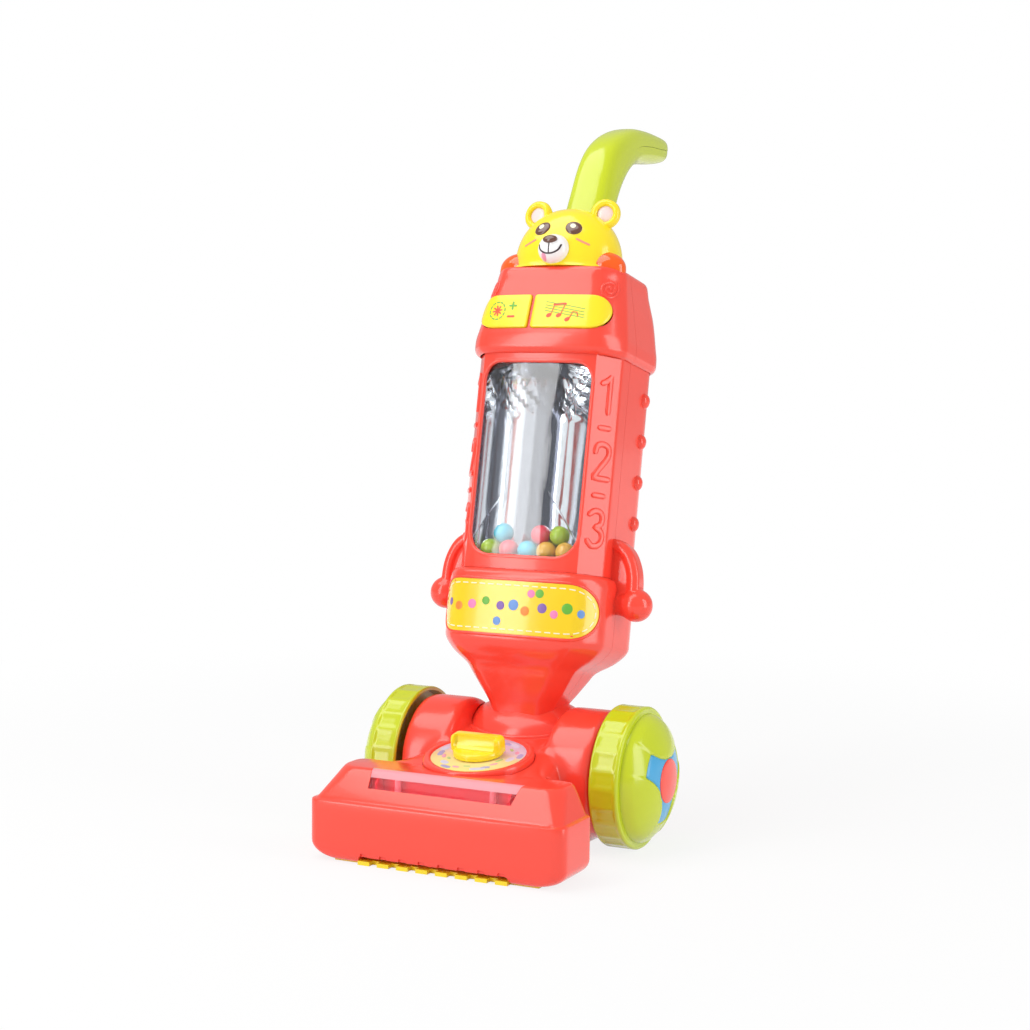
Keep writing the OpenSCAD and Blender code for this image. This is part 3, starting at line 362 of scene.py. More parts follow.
def half_outline(row):
    """Right half of a section from the middle of its front to the middle of its back."""
    _, half, front, back, corner, bulge, facet = row
    coarse, fine = 14, 28

    def bulged(x, y, side):
        return x, y + side * bulge * (1 - (x / half) ** 2)

    points = [bulged(mix(0, half - corner, k / fine), front, -1) for k in range(fine + 1)]
    a = Vector(bulged(half - 0.6 * corner, front + 0.06 * corner, -1))
    b = Vector((half - 0.01 * corner, front + 0.86 * corner))
    for k in range(1, fine + 1):
        t = pi / 2 * k / fine
        arc = Vector(bulged(half - corner + corner * sin(t), front + corner - corner * cos(t), -1))
        along = (arc - a).dot((b - a).normalized())
        if 0 < along < (b - a).length:
            arc = arc.lerp(a + (b - a).normalized() * along, facet)
        points.append(tuple(arc))
    points += [(half, mix(front + corner, back - corner, k / fine)) for k in range(1, fine + 1)]
    for k in range(1, coarse + 1):
        t = pi / 2 * k / coarse
        points.append(bulged(half - corner + corner * cos(t), back - corner + corner * sin(t), 1))
    return points + [bulged(mix(half - corner, 0, k / coarse), back, 1) for k in range(1, coarse + 1)]


def outline(row):
    """Whole section as a ring of points, from the middle of the back round by the left, front and right."""
    half = half_outline(row)
    left = [(-x, y) for x, y in half[1:]]
    return [(x, y, row[0]) for x, y in left[::-1] + half[:-1]]


class Wall:
    """A wall of the body through rows of sections, addressed by the run round it from its front's middle."""

    def __init__(self, rows):
        self.rows = rows
        self.kept = {}

    def line(self, z):
        key = round(z, 2)
        if key not in self.kept:
            points = half_outline(between(self.rows, z))
            self.kept[key] = points, runs_along(points)
        return self.kept[key]

    def spot(self, run, z):
        points, runs = self.line(z)
        s = min(abs(run), runs[-1])
        k = max(i for i in range(len(runs) - 1) if runs[i] <= s or i == 0)
        t = (s - runs[k]) / (runs[k + 1] - runs[k])
        x, y = mix(points[k][0], points[k + 1][0], t), mix(points[k][1], points[k + 1][1], t)
        return Vector((copysign(x, run) if run else 0, y, z))

    def at(self, run, z, out=0):
        """Point at a run and a height, moved out along the wall's normal."""
        p = self.spot(run, z)
        if out:
            sideways = self.spot(run + 0.6, z) - self.spot(run - 0.6, z)
            upwards = self.spot(run, z + 0.6) - self.spot(run, z - 0.6)
            p = p + sideways.cross(upwards).normalized() * out
        return p

    def run_to(self, x, z):
        """Run at which the front of the wall reaches x."""
        points, runs = self.line(z)
        for k in range(len(points) - 1):
            if points[k][0] <= x <= points[k + 1][0] and points[k + 1][0] > points[k][0]:
                return mix(runs[k], runs[k + 1], (x - points[k][0]) / (points[k + 1][0] - points[k][0]))
        return runs[-1]


# Rows: height, half width, front, back, corner radius, bulge, flatness of the front corners
LOWER = Wall([
    (44, 33.8, -36.9, 12.9, 13.6, 2, 0.5),
    (58, 42.8, -43, 18.9, 16, 2, 0.5),
    (63, 46, -45, 21, 17, 2, 0.5),
    (66, 49.5, -46.6, 24, 18.5, 2.4, 0.5),
    (72, 58, -50.5, 33, 22.5, 3.7, 0.5),
    (80, 65.5, -54, 40.2, 26, 4.7, 0.5),
    (86, 68, -55, 42, 27, 5, 0.5),
    (129, 68, -55, 42, 27, 5, 0.5),
    (133.5, 67.2, -54.4, 42.4, 26.6, 5, 0.5),
    (136, 65.9, -52.8, 43.2, 25.7, 5, 0.5),
    (137.4, 63.6, -50, 44.8, 24.2, 5, 0.5),
    (138, 62.2, -48.2, 45.8, 23, 5, 0.5),
])
TUBE = Wall([(137, 62, -48, 46, 23, 5, 0.9), (150, 62, -48, 46, 23, 5, 0.9), (310, 62, -48, 46, 23, 5, 0.9)])
CAP = Wall([
    (307.8, 62.6, -48.8, 46.5, 23.1, 5, 0.5),
    (309, 64.4, -50.6, 47.6, 23.6, 5, 0.5),
    (311.5, 65.7, -52.4, 48.7, 24, 5, 0.5),
    (315, 66, -53, 49, 24, 5, 0.5),
    (321, 65.8, -52.8, 49, 24, 5, 0.5),
    (326, 64.9, -51.9, 48.8, 23.7, 5, 0.5),
    (350, 60.5, -46.6, 47, 22.3, 5, 0.5),
    (368, 56.8, -42.6, 41.8, 22, 4, 0.5),
    (374, 55.9, -41.5, 40.4, 21.4, 3.4, 0.5),
    (377.5, 55, -40.5, 39.2, 20.6, 3, 0.5),
    (379.4, 53.4, -38.9, 37.4, 19.2, 3, 0.5),
    (380, 51, -36.4, 34.8, 17, 3, 0.5),
])


# Pieces on a surface. A surface is a function of two places on it and a height above it.


def ellipse(across, up, steps, turn=0.0, x=0.0, z=0.0):
    points = []
    for k in range(steps):
        t = 2 * pi * k / steps
        a, b = across * cos(t), up * sin(t)
        points.append((x + a * cos(turn) - b * sin(turn), z + a * sin(turn) + b * cos(turn)))
    return points


def rounded_box(left, right, low, high, corner, steps, spans):
    """Loop round a rectangle; corner is one radius, or four from the lower left round by the lower right."""
    radii = corner if isinstance(corner, tuple) else (corner,) * 4
    corners = ((left, low, 1, 1), (right, low, -1, 1), (right, high, -1, -1), (left, high, 1, -1))
    points = []
    for i, ((x, z, sx, sz), r) in enumerate(zip(corners, radii)):
        for k in range(steps + 1):
            t = pi + pi / 2 * i + pi / 2 * k / steps
            points.append((x + sx * r + r * cos(t), z + sz * r + r * sin(t)))
    loop = []
    for p, q in zip(points, points[1:] + points[:1]):
        parts = spans if dist(p, q) > 3 else 1
        loop += [(mix(p[0], q[0], j / parts), mix(p[1], q[1], j / parts)) for j in range(parts)]
    return loop


def widened(loop, by):
    """A closed loop moved outwards by a distance."""
    moved = []
    for i, (x, z) in enumerate(loop):
        p, q = loop[i - 1], loop[(i + 1) % len(loop)]
        along = Vector((q[0] - p[0], q[1] - p[1])).normalized()
        moved.append((x + along.y * by, z - along.x * by))
    return moved


def pad(name, loop, at, profile, centre=(0, 0)):
    """A plate on a surface: its loop drawn in to each share of the profile and lifted to each height."""
    return sweep(name, [[at(mix(centre[0], u, share), mix(centre[1], v, share), out) for u, v in loop]
                        for share, out in profile])


INNER_SHARES = [k / 20 for k in range(18, 0, -1)] + [TIP]


def plate_profile(low, high, edge):
    """Profile of a pad with a rounded edge that covers its surface from low to high."""
    rise = high - low
    return ([(TIP, low), (0.5, low), (1, low), (1, low + 0.6 * rise), (1 - 0.3 * edge, low + 0.88 * rise)]
            + [(share, high) for share in [1 - edge] + INNER_SHARES])


def frame_round(name, loop, at, section):
    """A closed moulding along a loop on a surface; its section is a ring of distances and heights."""
    obj = sweep(name, [[at(u, v, out) for u, v in widened(loop, by)] for by, out in section], ends=False)
    edit(obj, "EDGE")
    bpy.ops.mesh.select_all(action="DESELECT")
    bpy.ops.mesh.select_non_manifold()
    bpy.ops.mesh.bridge_edge_loops()
    face_outwards()
    return obj


def curve(points, steps, closed=False):
    """Smooth path through points."""
    count = len(points)
    path = []
    for i in range(count if closed else count - 1):
        near = range(i - 1, i + 3)
        p = [points[k % count if closed else min(max(k, 0), count - 1)] for k in near]
        for j in range(steps):
            t = j / steps
            path.append(tuple(0.5 * (2 * b + (c - a) * t + (2 * a - 5 * b + 4 * c - d) * t * t
                                     + (3 * b - a - 3 * c + d) * t**3) for a, b, c, d in zip(*p)))
    return path + [points[0] if closed else points[-1]]


def stroke(name, path, width, at, low, high):
    """A raised line on a surface, with round ends and a rounded top."""
    half = width / 2
    section = [(-1, 0), (-1, 0.5), (-0.82, 0.84), (-0.4, 1), (0.4, 1), (0.82, 0.84), (1, 0.5), (1, 0)]
    stations = [(Vector(p), direction(path, i), 1) for i, p in enumerate(path)]
    ends = [radians(t) for t in (84, 60, 35)]
    first, last = stations[0], stations[-1]
    stations = ([(first[0] - first[1] * half * sin(t), first[1], cos(t)) for t in ends] + stations
                + [(last[0] + last[1] * half * sin(t), last[1], cos(t)) for t in reversed(ends)])
    rings = []
    for p, along, share in stations:
        ring = []
        for side, rise in section:
            q = p + Vector((along.y, -along.x)) * side * half * share
            ring.append(at(q.x, q.y, mix(low, high, rise)))
        rings.append(ring)
    return sweep(name, rings)


def flat(matrix):
    """Surface on the XY plane of a matrix in millimetres."""
    return lambda u, v, out: matrix @ Vector((u, v, out))


# Finishes

# Depth of the finest relief in a finish, in metres
PEEL_DEPTH = 0.0004
# Clearness, as greys, below and above the heights of a painted sheen: above them the clear plastic is painted
# paler and less clear, standing in for a reflection of the light
PAINTED_SHEEN_STOPS = ((0, (250, 250, 250)), (1, (150, 150, 150)))
# Display colours of the inks
INKS = {
    "White": (252, 246, 214), "Dark": (60, 44, 50), "Cheek": (246, 150, 120), "Rose": (236, 160, 186),
    "Pink": (238, 130, 186), "Orange": (240, 140, 50), "Vermilion": (236, 84, 44), "Green": (106, 184, 62),
    "Leaf": (184, 206, 130), "Sky": (104, 152, 220), "Lavender": (212, 208, 230), "Violet": (172, 164, 208),
    "Violet dot": (132, 96, 176)}


def feed(tree, node, values):
    """Puts values into the inputs of a node: a socket is linked, anything else is set."""
    for name, value in dict(values).items():
        if isinstance(value, bpy.types.NodeSocket):
            tree.links.new(value, node.inputs[name])
        else:
            node.inputs[name].default_value = value
    return node


def add_node(tree, kind, values=(), **settings):
    node = tree.nodes.new("ShaderNode" + kind)
    for name, value in settings.items():
        setattr(node, name, value)
    return feed(tree, node, values)


def object_place(tree):
    return add_node(tree, "TexCoord").outputs["Object"]


def noise(tree, scale, detail, stretch=None):
    """Noise on Object coordinates, with its pattern drawn out along the axes if stretch is given."""
    source = object_place(tree)
    if stretch:
        source = add_node(tree, "Mapping", {"Vector": source, "Scale": stretch}).outputs["Vector"]
    return add_node(tree, "TexNoise", {"Vector": source, "Scale": scale, "Detail": detail}).outputs["Fac"]


def arithmetic(tree, operation, *values):
    return add_node(tree, "Math", enumerate(values), operation=operation).outputs[0]


def finish_group(name, inputs, build):
    """Node group with a colour, a roughness and a height out; build makes its shade, roughness and height."""
    group = bpy.data.node_groups.get(name)
    if group:
        return group
    group = bpy.data.node_groups.new(name, "ShaderNodeTree")
    for label, value in inputs.items():
        kind = "NodeSocketColor" if isinstance(value, tuple) else "NodeSocketFloat"
        group.interface.new_socket(name=label, in_out="INPUT", socket_type=kind).default_value = value
    made = {"Colour": "NodeSocketColor", "Roughness": "NodeSocketFloat", "Height": "NodeSocketFloat"}
    for label, kind in made.items():
        group.interface.new_socket(name=label, in_out="OUTPUT", socket_type=kind)
    given = group.nodes.new("NodeGroupInput").outputs
    shade, roughness, height = build(group, given)
    tint = add_node(group, "Mix", {"Factor": 1, "A": given["Colour"], "B": shade}, data_type="RGBA",
                    blend_type="MULTIPLY").outputs["Result"]
    feed(group, group.nodes.new("NodeGroupOutput"), dict(zip(made, (tint, roughness, height))))
    return group


def moulded_skin():
    """Finish of moulded plastic: faint clouds in its colour, handled gloss and a fine orange-peel skin."""
    def build(group, given):
        cloud = arithmetic(group, "SUBTRACT", noise(group, 22, 3), 0.5)
        handled = arithmetic(group, "SUBTRACT", noise(group, 70, 4), 0.5)
        return (arithmetic(group, "MULTIPLY_ADD", cloud, given["Clouds"], 1.0),
                arithmetic(group, "MULTIPLY_ADD", handled, given["Handling"], given["Gloss"]),
                noise(group, 650, 2))
    inputs = {"Colour": (0.8, 0.8, 0.8, 1), "Clouds": 0.06, "Gloss": 0.25, "Handling": 0.08}
    return finish_group("Moulded Skin", inputs, build)


def brushed_metal():
    """Finish of bright metal: fine lines along one axis in its colour, roughness and height."""
    def build(group, given):
        lines = noise(group, 40, 3, (12, 12, 0.6))
        return (arithmetic(group, "MULTIPLY_ADD", lines, 0.2, 0.9),
                arithmetic(group, "MULTIPLY_ADD", lines, 0.12, given["Gloss"]), lines)
    return finish_group("Drawn Metal", {"Colour": (0.6, 0.6, 0.62, 1), "Gloss": 0.2}, build)


def new_material(name):
    """A material with its node tree, main shader and output."""
    material = bpy.data.materials.new(name)
    material.use_nodes = True
    tree = material.node_tree
    tree.nodes.clear()
    shader = add_node(tree, "BsdfPrincipled")
    made = add_node(tree, "OutputMaterial", {"Surface": shader.outputs["BSDF"]})
    return material, tree, shader, made


def dress(tree, shader, group, peel=0.05, **values):
    """Feeds the shader's colour, roughness and bump from a finish group."""
    skin = add_node(tree, "Group", values, node_tree=group)
    made = skin.outputs
    bump = add_node(tree, "Bump", {"Strength": peel, "Distance": PEEL_DEPTH, "Height": made["Height"]})
    feed(tree, shader, {"Base Color": made["Colour"], "Roughness": made["Roughness"],
                        "Normal": bump.outputs["Normal"]})
    return skin


def along_axis(tree, axis, low, high, stops):
    """Colour along an axis of the Object coordinates, through display colours at shares of the span."""
    parts = add_node(tree, "SeparateXYZ", {"Vector": object_place(tree)})
    span = add_node(tree, "MapRange", {"From Min": low, "From Max": high, "Value": parts.outputs[axis]})
    ramp = add_node(tree, "ValToRGB", {"Fac": span.outputs["Result"]})
    points = ramp.color_ramp.elements
    points.remove(points[1])
    points[0].position, points[0].color = stops[0][0], linear(*stops[0][1])
    for share, tint in stops[1:]:
        points.new(share).color = linear(*tint)
    return ramp.outputs["Color"]


def blend_shaders(tree, share, first, second, made):
    """Ends a material in a mix of two shaders."""
    both = add_node(tree, "MixShader", {"Fac": share, 1: first.outputs[0], 2: second.outputs[0]})
    feed(tree, made, {"Surface": both.outputs["Shader"]})


def plastic(name, tint, gloss=0.2, clouds=0.05, peel=0.04, coat=0.25):
    """Moulded plastic of one colour."""
    material = bpy.data.materials.get(name)
    if not material:
        material, tree, shader, _ = new_material(name)
        dress(tree, shader, moulded_skin(), peel, Colour=tint, Clouds=clouds, Gloss=gloss)
        feed(tree, shader, {"Coat Weight": coat, "Coat Roughness": 0.06})
    return material


def clear_plastic(name, tint, depth, gloss=0.04, ior=1.46, painted_sheen=None):
    """Clear moulded plastic, which lets light through to what lies behind it. The optional span of heights
    paints a reflection: above it the plastic turns paler and less clear.
    """
    material = bpy.data.materials.get(name)
    if not material:
        material, tree, shader, made = new_material(name)
        dress(tree, shader, moulded_skin(), 0.01, Colour=tint, Clouds=0.04, Gloss=gloss, Handling=0.03)
        # Painted reflection: above the span of heights the plastic is made paler and less clear.
        clearness = along_axis(tree, "Z", *painted_sheen, PAINTED_SHEEN_STOPS) if painted_sheen else depth
        feed(tree, shader, {"Transmission Weight": clearness, "IOR": ior})
        shadow = add_node(tree, "LightPath").outputs["Is Shadow Ray"]
        blend_shaders(tree, shadow, shader, add_node(tree, "BsdfTransparent", {"Color": tint}), made)
    return material


def metal(name, tint, gloss=0.18):
    """Bare or plated metal."""
    material = bpy.data.materials.get(name)
    if not material:
        material, tree, shader, _ = new_material(name)
        dress(tree, shader, brushed_metal(), Colour=tint, Gloss=gloss)
        feed(tree, shader, {"Metallic": 1})
    return material


def coral():
    return plastic("Coral plastic", colour("coral"))


def lime():
    return plastic("Lime plastic", colour("lime"))


def yellow():
    return plastic("Yellow plastic", colour("yellow"))


def ink(name):
    """Printed ink."""
    return plastic(name + " ink", linear(*INKS[name]), gloss=0.35, clouds=0.1, peel=0.02, coat=0)


# Wheels, modelled round Z with the outer face upwards

WHEEL_LOW, WHEEL_HIGH = (corner * 1000 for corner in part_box("wheel_right"))
TREAD_R = (WHEEL_HIGH.z - WHEEL_LOW.z) / 2
TREAD_IN = WHEEL_LOW.x
TREAD_OUT = TREAD_IN + 23
DOME_R = 49
DOME_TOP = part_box("wheel_hub_right")[1].x * 1000
DOME_H = DOME_TOP - TREAD_OUT
DOME_BALL = (DOME_H**2 + DOME_R**2) / (2 * DOME_H)
FULLNESS = 0.6
HUB_R = 16.8
INSET_R = 33
LOBE_PLACE = 1.72 * INSET_R
LOBE_R = LOBE_PLACE - HUB_R - 0.5
FLUTES = 24
AT_WHEEL = Matrix.Translation((0, AXLE.y, AXLE.z)) @ ALONG_X @ MM


def lobe_depth(x, y):
    """How far a place lies inside one of the three raised lobes."""
    return max(LOBE_R - dist((x, y), (LOBE_PLACE * cos(t), LOBE_PLACE * sin(t)))
               for t in (pi / 3, pi, 5 * pi / 3))


def dome_at(x, y, out):
    """Place on the wheel's dome above a spot of its plan: a ball's cap, made fuller towards its edge."""
    def height(r):
        cap = DOME_H - DOME_BALL + sqrt(DOME_BALL**2 - r * r)
        return mix(cap, DOME_H * sqrt(max(1 - (r / DOME_R) ** 2, 0)), FULLNESS)
    r = min(hypot(x, y), DOME_R)
    slope = (height(max(r - 0.2, 0)) - height(min(r + 0.2, DOME_R))) / 0.4 if r > 0.5 else 0
    tilt = Vector((slope * x / r, slope * y / r, 1)).normalized() if r > 0.5 else Vector((0, 0, 1))
    return Vector((x, y, TREAD_OUT + height(r))) + tilt * out


def star_loop(shrink):
    """Edge of the blue plate: a circle with three hollow sides."""
    steps = 144
    loop = []
    for k in range(steps):
        t = 2 * pi * k / steps
        r = INSET_R - shrink
        while lobe_depth(r * cos(t), r * sin(t)) > -shrink and r > HUB_R:
            r -= 0.1
        loop.append((r * cos(t), r * sin(t)))
    return loop


class VACUUM_OT_wheels(bpy.types.Operator):
    """Models the two fluted wheels with their blue plates and coral hubs"""
    bl_idname = "vacuum.wheels"
    bl_label = "Wheels"

    def execute(self, context):
        wheel = self.tread_and_dome()
        inset = pad("inset", star_loop(0.3), dome_at,
                    [(TIP, -1.5), (0.5, -1.5), (1, -1.5), (1, -0.75)]
                    + [(share, -0.6) for share in (0.99, 0.85, 0.7, 0.5, 0.3, TIP)])
        hub = pad("hub", ellipse(HUB_R, HUB_R, 64), dome_at,
                  [(TIP, -1.2), (0.6, -1.2), (1, -1.2), (1, -0.3), (0.985, -0.12)]
                  + [(share, -0.05) for share in (0.955, 0.8, 0.5, TIP)])
        kinds = ((wheel, "wheel", lime(), "lime_plastic"),
                 (inset, "wheel_inset", plastic("Blue plastic", colour("blue"), gloss=0.3), "blue_plastic"),
                 (hub, "wheel_hub", coral(), "coral_plastic"))
        for piece, kind, material, slot in kinds:
            place(piece, AT_WHEEL)
            piece.name = piece.data.name = kind + "_right_shape"
            other = mirrored(piece, kind + "_left_shape")
            give(piece, material, "wheel_right", slot, kind + "_right", angle=50)
            give(other, material, "wheel_left", slot, kind + "_left", angle=50)
        return {"FINISHED"}

    def tread_and_dome(self):
        """Skin from the web inside the wheel round the fluted tread to the middle of the dome."""
        steps = FLUTES * 10
        r, inner, outer = TREAD_R, TREAD_IN, TREAD_OUT
        web, lip = inner + 9, r - 3.5
        # Radius, height and share of the flutes' depth
        rows = [(TIP, web, 0), (20, web, 0), (lip - 1, web, 0), (lip - 0.2, web - 0.6, 0),
                (lip, inner + 1, 0), (lip + 0.5, inner + 0.2, 0), (r - 1.4, inner, 0),
                (r - 0.4, inner + 0.4, 0), (r, inner + 1.4, 0), (r, inner + 2.4, 0.5)]
        rows += [(r, inner + 3.2 + 3.5 * k, 1) for k in range(5)]
        rows += [(r, outer - 4, 1), (r, outer - 3.3, 0.3), (r, outer - 3, 0), (r, outer - 1.6, 0),
                 (r - 0.5, outer - 0.6, 0), (r - 1.4, outer - 0.1, 0), (r - 2.6, outer, 0),
                 (r - 3.6, outer - 0.3, 0), (DOME_R + 0.4, outer - 0.2, 0)]
        angles = [2 * pi * k / steps for k in range(steps)]
        rings = []
        for radius, height, fluted in rows:
            ring = []
            for t in angles:
                hollow = 1 - abs(cos(FLUTES / 2 * t)) ** 5
                r = radius - size("flute_depth") * fluted * hollow
                ring.append((r * cos(t), r * sin(t), height))
            rings.append(ring)
        for k in range(49):
            r = max(DOME_R * cos(pi / 2 * k / 48), TIP)
            ring = []
            for t in angles:
                x, y = r * cos(t), r * sin(t)
                inside = lobe_depth(x, y)
                raised = ease(inside / 1.6 + 0.5) * ease((DOME_R - r) / 6)
                sunk = (1 - ease(inside / 0.6 + 0.5)) * (1 - ease((r - INSET_R) / 0.8 + 0.5))
                ring.append(tuple(dome_at(x, y, 0.7 * raised - 0.1 - 1.5 * sunk)))
            rings.append(ring)
        return sweep("wheel", rings)


# Base: nozzle, dial deck, wheel drums and the socket of the neck

NOZZLE_BACK = -93
# Rows of the nozzle: height, half width, front, corner radius
NOZZLE_ROWS = [(1 + 13 * (1 - sin(t)), 103.5 - 20 * (1 - cos(t)), -145 + 6 * (1 - cos(t)), 9)
               for t in (radians(a) for a in (90, 78, 66, 54, 42, 30, 20, 10))] + [
    (14, 103.5, -145, 9), (24, 103.5, -145, 9), (34, 103.5, -145, 9), (43.6, 103.5, -145, 9),
    (44.5, 103.3, -144.8, 9), (45, 102.6, -144.1, 8.8), (45.2, 101.2, -142.7, 8.6),
    (45.6, 100.2, -141.9, 8.6), (46.4, 99.8, -141.5, 9), (48, 99, -140.2, 10), (54, 96.4, -135, 12.6),
    (60, 93.6, -129.6, 14.4), (64, 91.6, -126, 14.8), (65.8, 90.5, -124, 14.8), (66.7, 89.4, -122.6, 14.6),
    (67, 87.8, -121, 14)]
# Rows of the housing: place, lower half width, upper half width, top, corner radius
HOUSING_ROWS = [
    (-107, 93.5, 86.5, 63, 8), (-93, 91.5, 79.5, 66, 10), (-80, 83, 65, 68.5, 13), (-60, 75, 57, 72, 14),
    (-40, 70, 54, 76, 14), (-22, 67, 53, 80, 14), (0, 66, 53, 86.6, 13), (18, 65, 53, 92, 13),
    (44, 62, 51, 85, 13), (62, 56, 47, 76, 12), (70, 50, 42, 62, 12)]
HINGE_Y = (HINGE.y - AXLE.y) * 1000
HINGE_Z = HINGE.z * 1000
FOOT_R, FOOT_HALF, CROWN_R = 44, 45, 84.4
DIAL_R = 42
COMB_HALF, TEETH = 64, 8
DRUM_IN, DRUM_OUT, DRUM_R = 40, 81, 48.8
RIM_HALF, RIM_WIDTH, RIM_RISE = 43, 3, 1.9
# Clear strip over the ridge: its plan, the room for the tray below it and the heights above which the strip
# is painted paler and less clear, as a painted reflection of the light
STRIP_BACK, STRIP_FRONT, STRIP_WIDE, STRIP_NARROW = -119, -134, 62, 58
TRAY_HALF, TRAY_BACK, TRAY_LOW, TRAY_TOP = 57, -116.4, 36, 62.4
STRIP_PAINTED_SHEEN = 0.0616, 0.0622


def nozzle(name, rows):
    """Skin of the nozzle through its rows."""
    rings = []
    for z, half, front, corner in rows:
        loop = rounded_box(-half, half, front, NOZZLE_BACK, (corner, corner, 6, 6), 8, 10)
        rings.append([(x, y, z) for x, y in loop])
    return sweep(name, rings)


def housing_ring(row):
    """Section of the housing, from the middle of its top round by the right."""
    y, low, high, top, r = row
    corner = [(high - r + r * cos(t), top - r + r * sin(t))
              for t in (radians(90 - 8 * k) for k in range(11))]
    side = [(mix(corner[-1][0], low, k / 6), mix(corner[-1][1], 1, k / 6)) for k in range(1, 7)]
    across = [(mix(0, high - r, k / 8), top) for k in range(8)]
    right = across + corner + side
    return [(x, y, z) for x, z in right + [(0, 1)] + [(-x, z) for x, z in reversed(right[1:])]]


def barrel(name, grow, half):
    """Crowned barrel of the neck, along X."""
    steps = 24
    profile = [(TIP, -half)]
    for k in range(steps + 1):
        x = mix(-half, half, k / steps)
        profile.append((FOOT_R - CROWN_R + sqrt((CROWN_R + grow) ** 2 - x * x), x))
    obj = lathe(name, profile + [(TIP, half)], 128)
    return place(obj, ALONG_X)


def strip_block(name, grow, low, high):
    """Block with the plan of the pink strip over the ridge."""
    back, front, wide, narrow = STRIP_BACK + grow, STRIP_FRONT - grow, STRIP_WIDE + grow, STRIP_NARROW + grow
    return along_z(name, [(-wide, back), (-narrow, front), (narrow, front), (wide, back)], low, high)


class VACUUM_OT_base_shell(bpy.types.Operator):
    """Models the coral base: nozzle, dial deck, wheel drums and the socket of the neck"""
    bl_idname = "vacuum.base_shell"
    bl_label = "Base Shell"

    def execute(self, context):
        base = nozzle("base_shell_shape", NOZZLE_ROWS)
        self.comb(base)
        combine(base, strip_block("strip_well", 0.15, 40, 90), "DIFFERENCE")
        plan = ((-TRAY_HALF, TRAY_BACK), (-TRAY_HALF, STRIP_FRONT), (TRAY_HALF, STRIP_FRONT),
                (TRAY_HALF, TRAY_BACK))
        combine(base, along_z("tray_room", plan, TRAY_LOW, TRAY_TOP), "DIFFERENCE")
        stations = spread(HOUSING_ROWS[0][0], HOUSING_ROWS[-1][0], 48)
        housing = sweep("housing", [housing_ring(between(HOUSING_ROWS, y)) for y in stations])
        for side in (-1, 1):
            drum = lathe("drum", [
                (TIP, DRUM_IN), (DRUM_R, DRUM_IN), (DRUM_R, DRUM_OUT - 3), (DRUM_R - 0.4, DRUM_OUT - 1),
                (DRUM_R - 1.8, DRUM_OUT), (TIP, DRUM_OUT)], 96)
            place(drum, Matrix.Translation((0, 0, AXLE.z * 1000)) @ Matrix.Rotation(side * pi / 2, 4, "Y"))
            combine(housing, drum, "UNION")
        combine(base, blend_forms(housing, 2.2, 26), "UNION")
        socket = barrel("socket", 0.8, FOOT_HALF + 0.5)
        combine(base, place(socket, Matrix.Translation((0, HINGE_Y, HINGE_Z))), "DIFFERENCE")
        well = lathe("dial_well", [(TIP, -2), (DIAL_R + 0.4, -2), (DIAL_R + 0.4, 1), (DIAL_R + 1.2, 6),
                                   (DIAL_R + 3, 40), (TIP, 40)], 96)
        combine(base, place(well, ON_BASE.inverted() @ ON_DIAL), "DIFFERENCE")
        place(base, ON_BASE)
        give(base, coral(), "base", "coral_plastic", "base_shell", angle=32)
        self.socket_rim()
        return {"FINISHED"}

    def socket_rim(self):
        """Raised rim along the front edge of the neck's socket."""
        def top(y):
            return between(HOUSING_ROWS, y)[3]
        path = []
        for k in range(41):
            x = mix(-RIM_HALF, RIM_HALF, k / 40)
            round_r = FOOT_R - CROWN_R + sqrt(CROWN_R**2 - x * x)
            y = HINGE_Y - round_r
            for _ in range(30):
                y = HINGE_Y - sqrt(max(round_r**2 - (top(y) - HINGE_Z) ** 2, 0))
            path.append((x, y - 2))
        rim = stroke("socket_rim", path, RIM_WIDTH, lambda u, v, out: Vector((u, v, top(v) + out)),
                     -1.6, RIM_RISE)
        give(place(rim, ON_BASE), coral(), "base", "coral_plastic", angle=50)

    def comb(self, base):
        """Cuts the raised lower edge over the comb teeth, with a small notch over each tooth."""
        edge = ((-COMB_HALF, -2), (COMB_HALF, -2), (COMB_HALF - 4, 6), (4 - COMB_HALF, 6))
        combine(base, along_y("comb_gap", edge, -150, -126), "DIFFERENCE")
        pitch = 2 * COMB_HALF / TEETH
        for k in range(TEETH):
            x = (k + 0.5) * pitch - COMB_HALF
            edge = ((x - 3.4, 5), (x + 3.4, 5), (x + 2.4, 8.6), (x - 2.4, 8.6))
            combine(base, along_y("notch", edge, -150, -142.6), "DIFFERENCE")


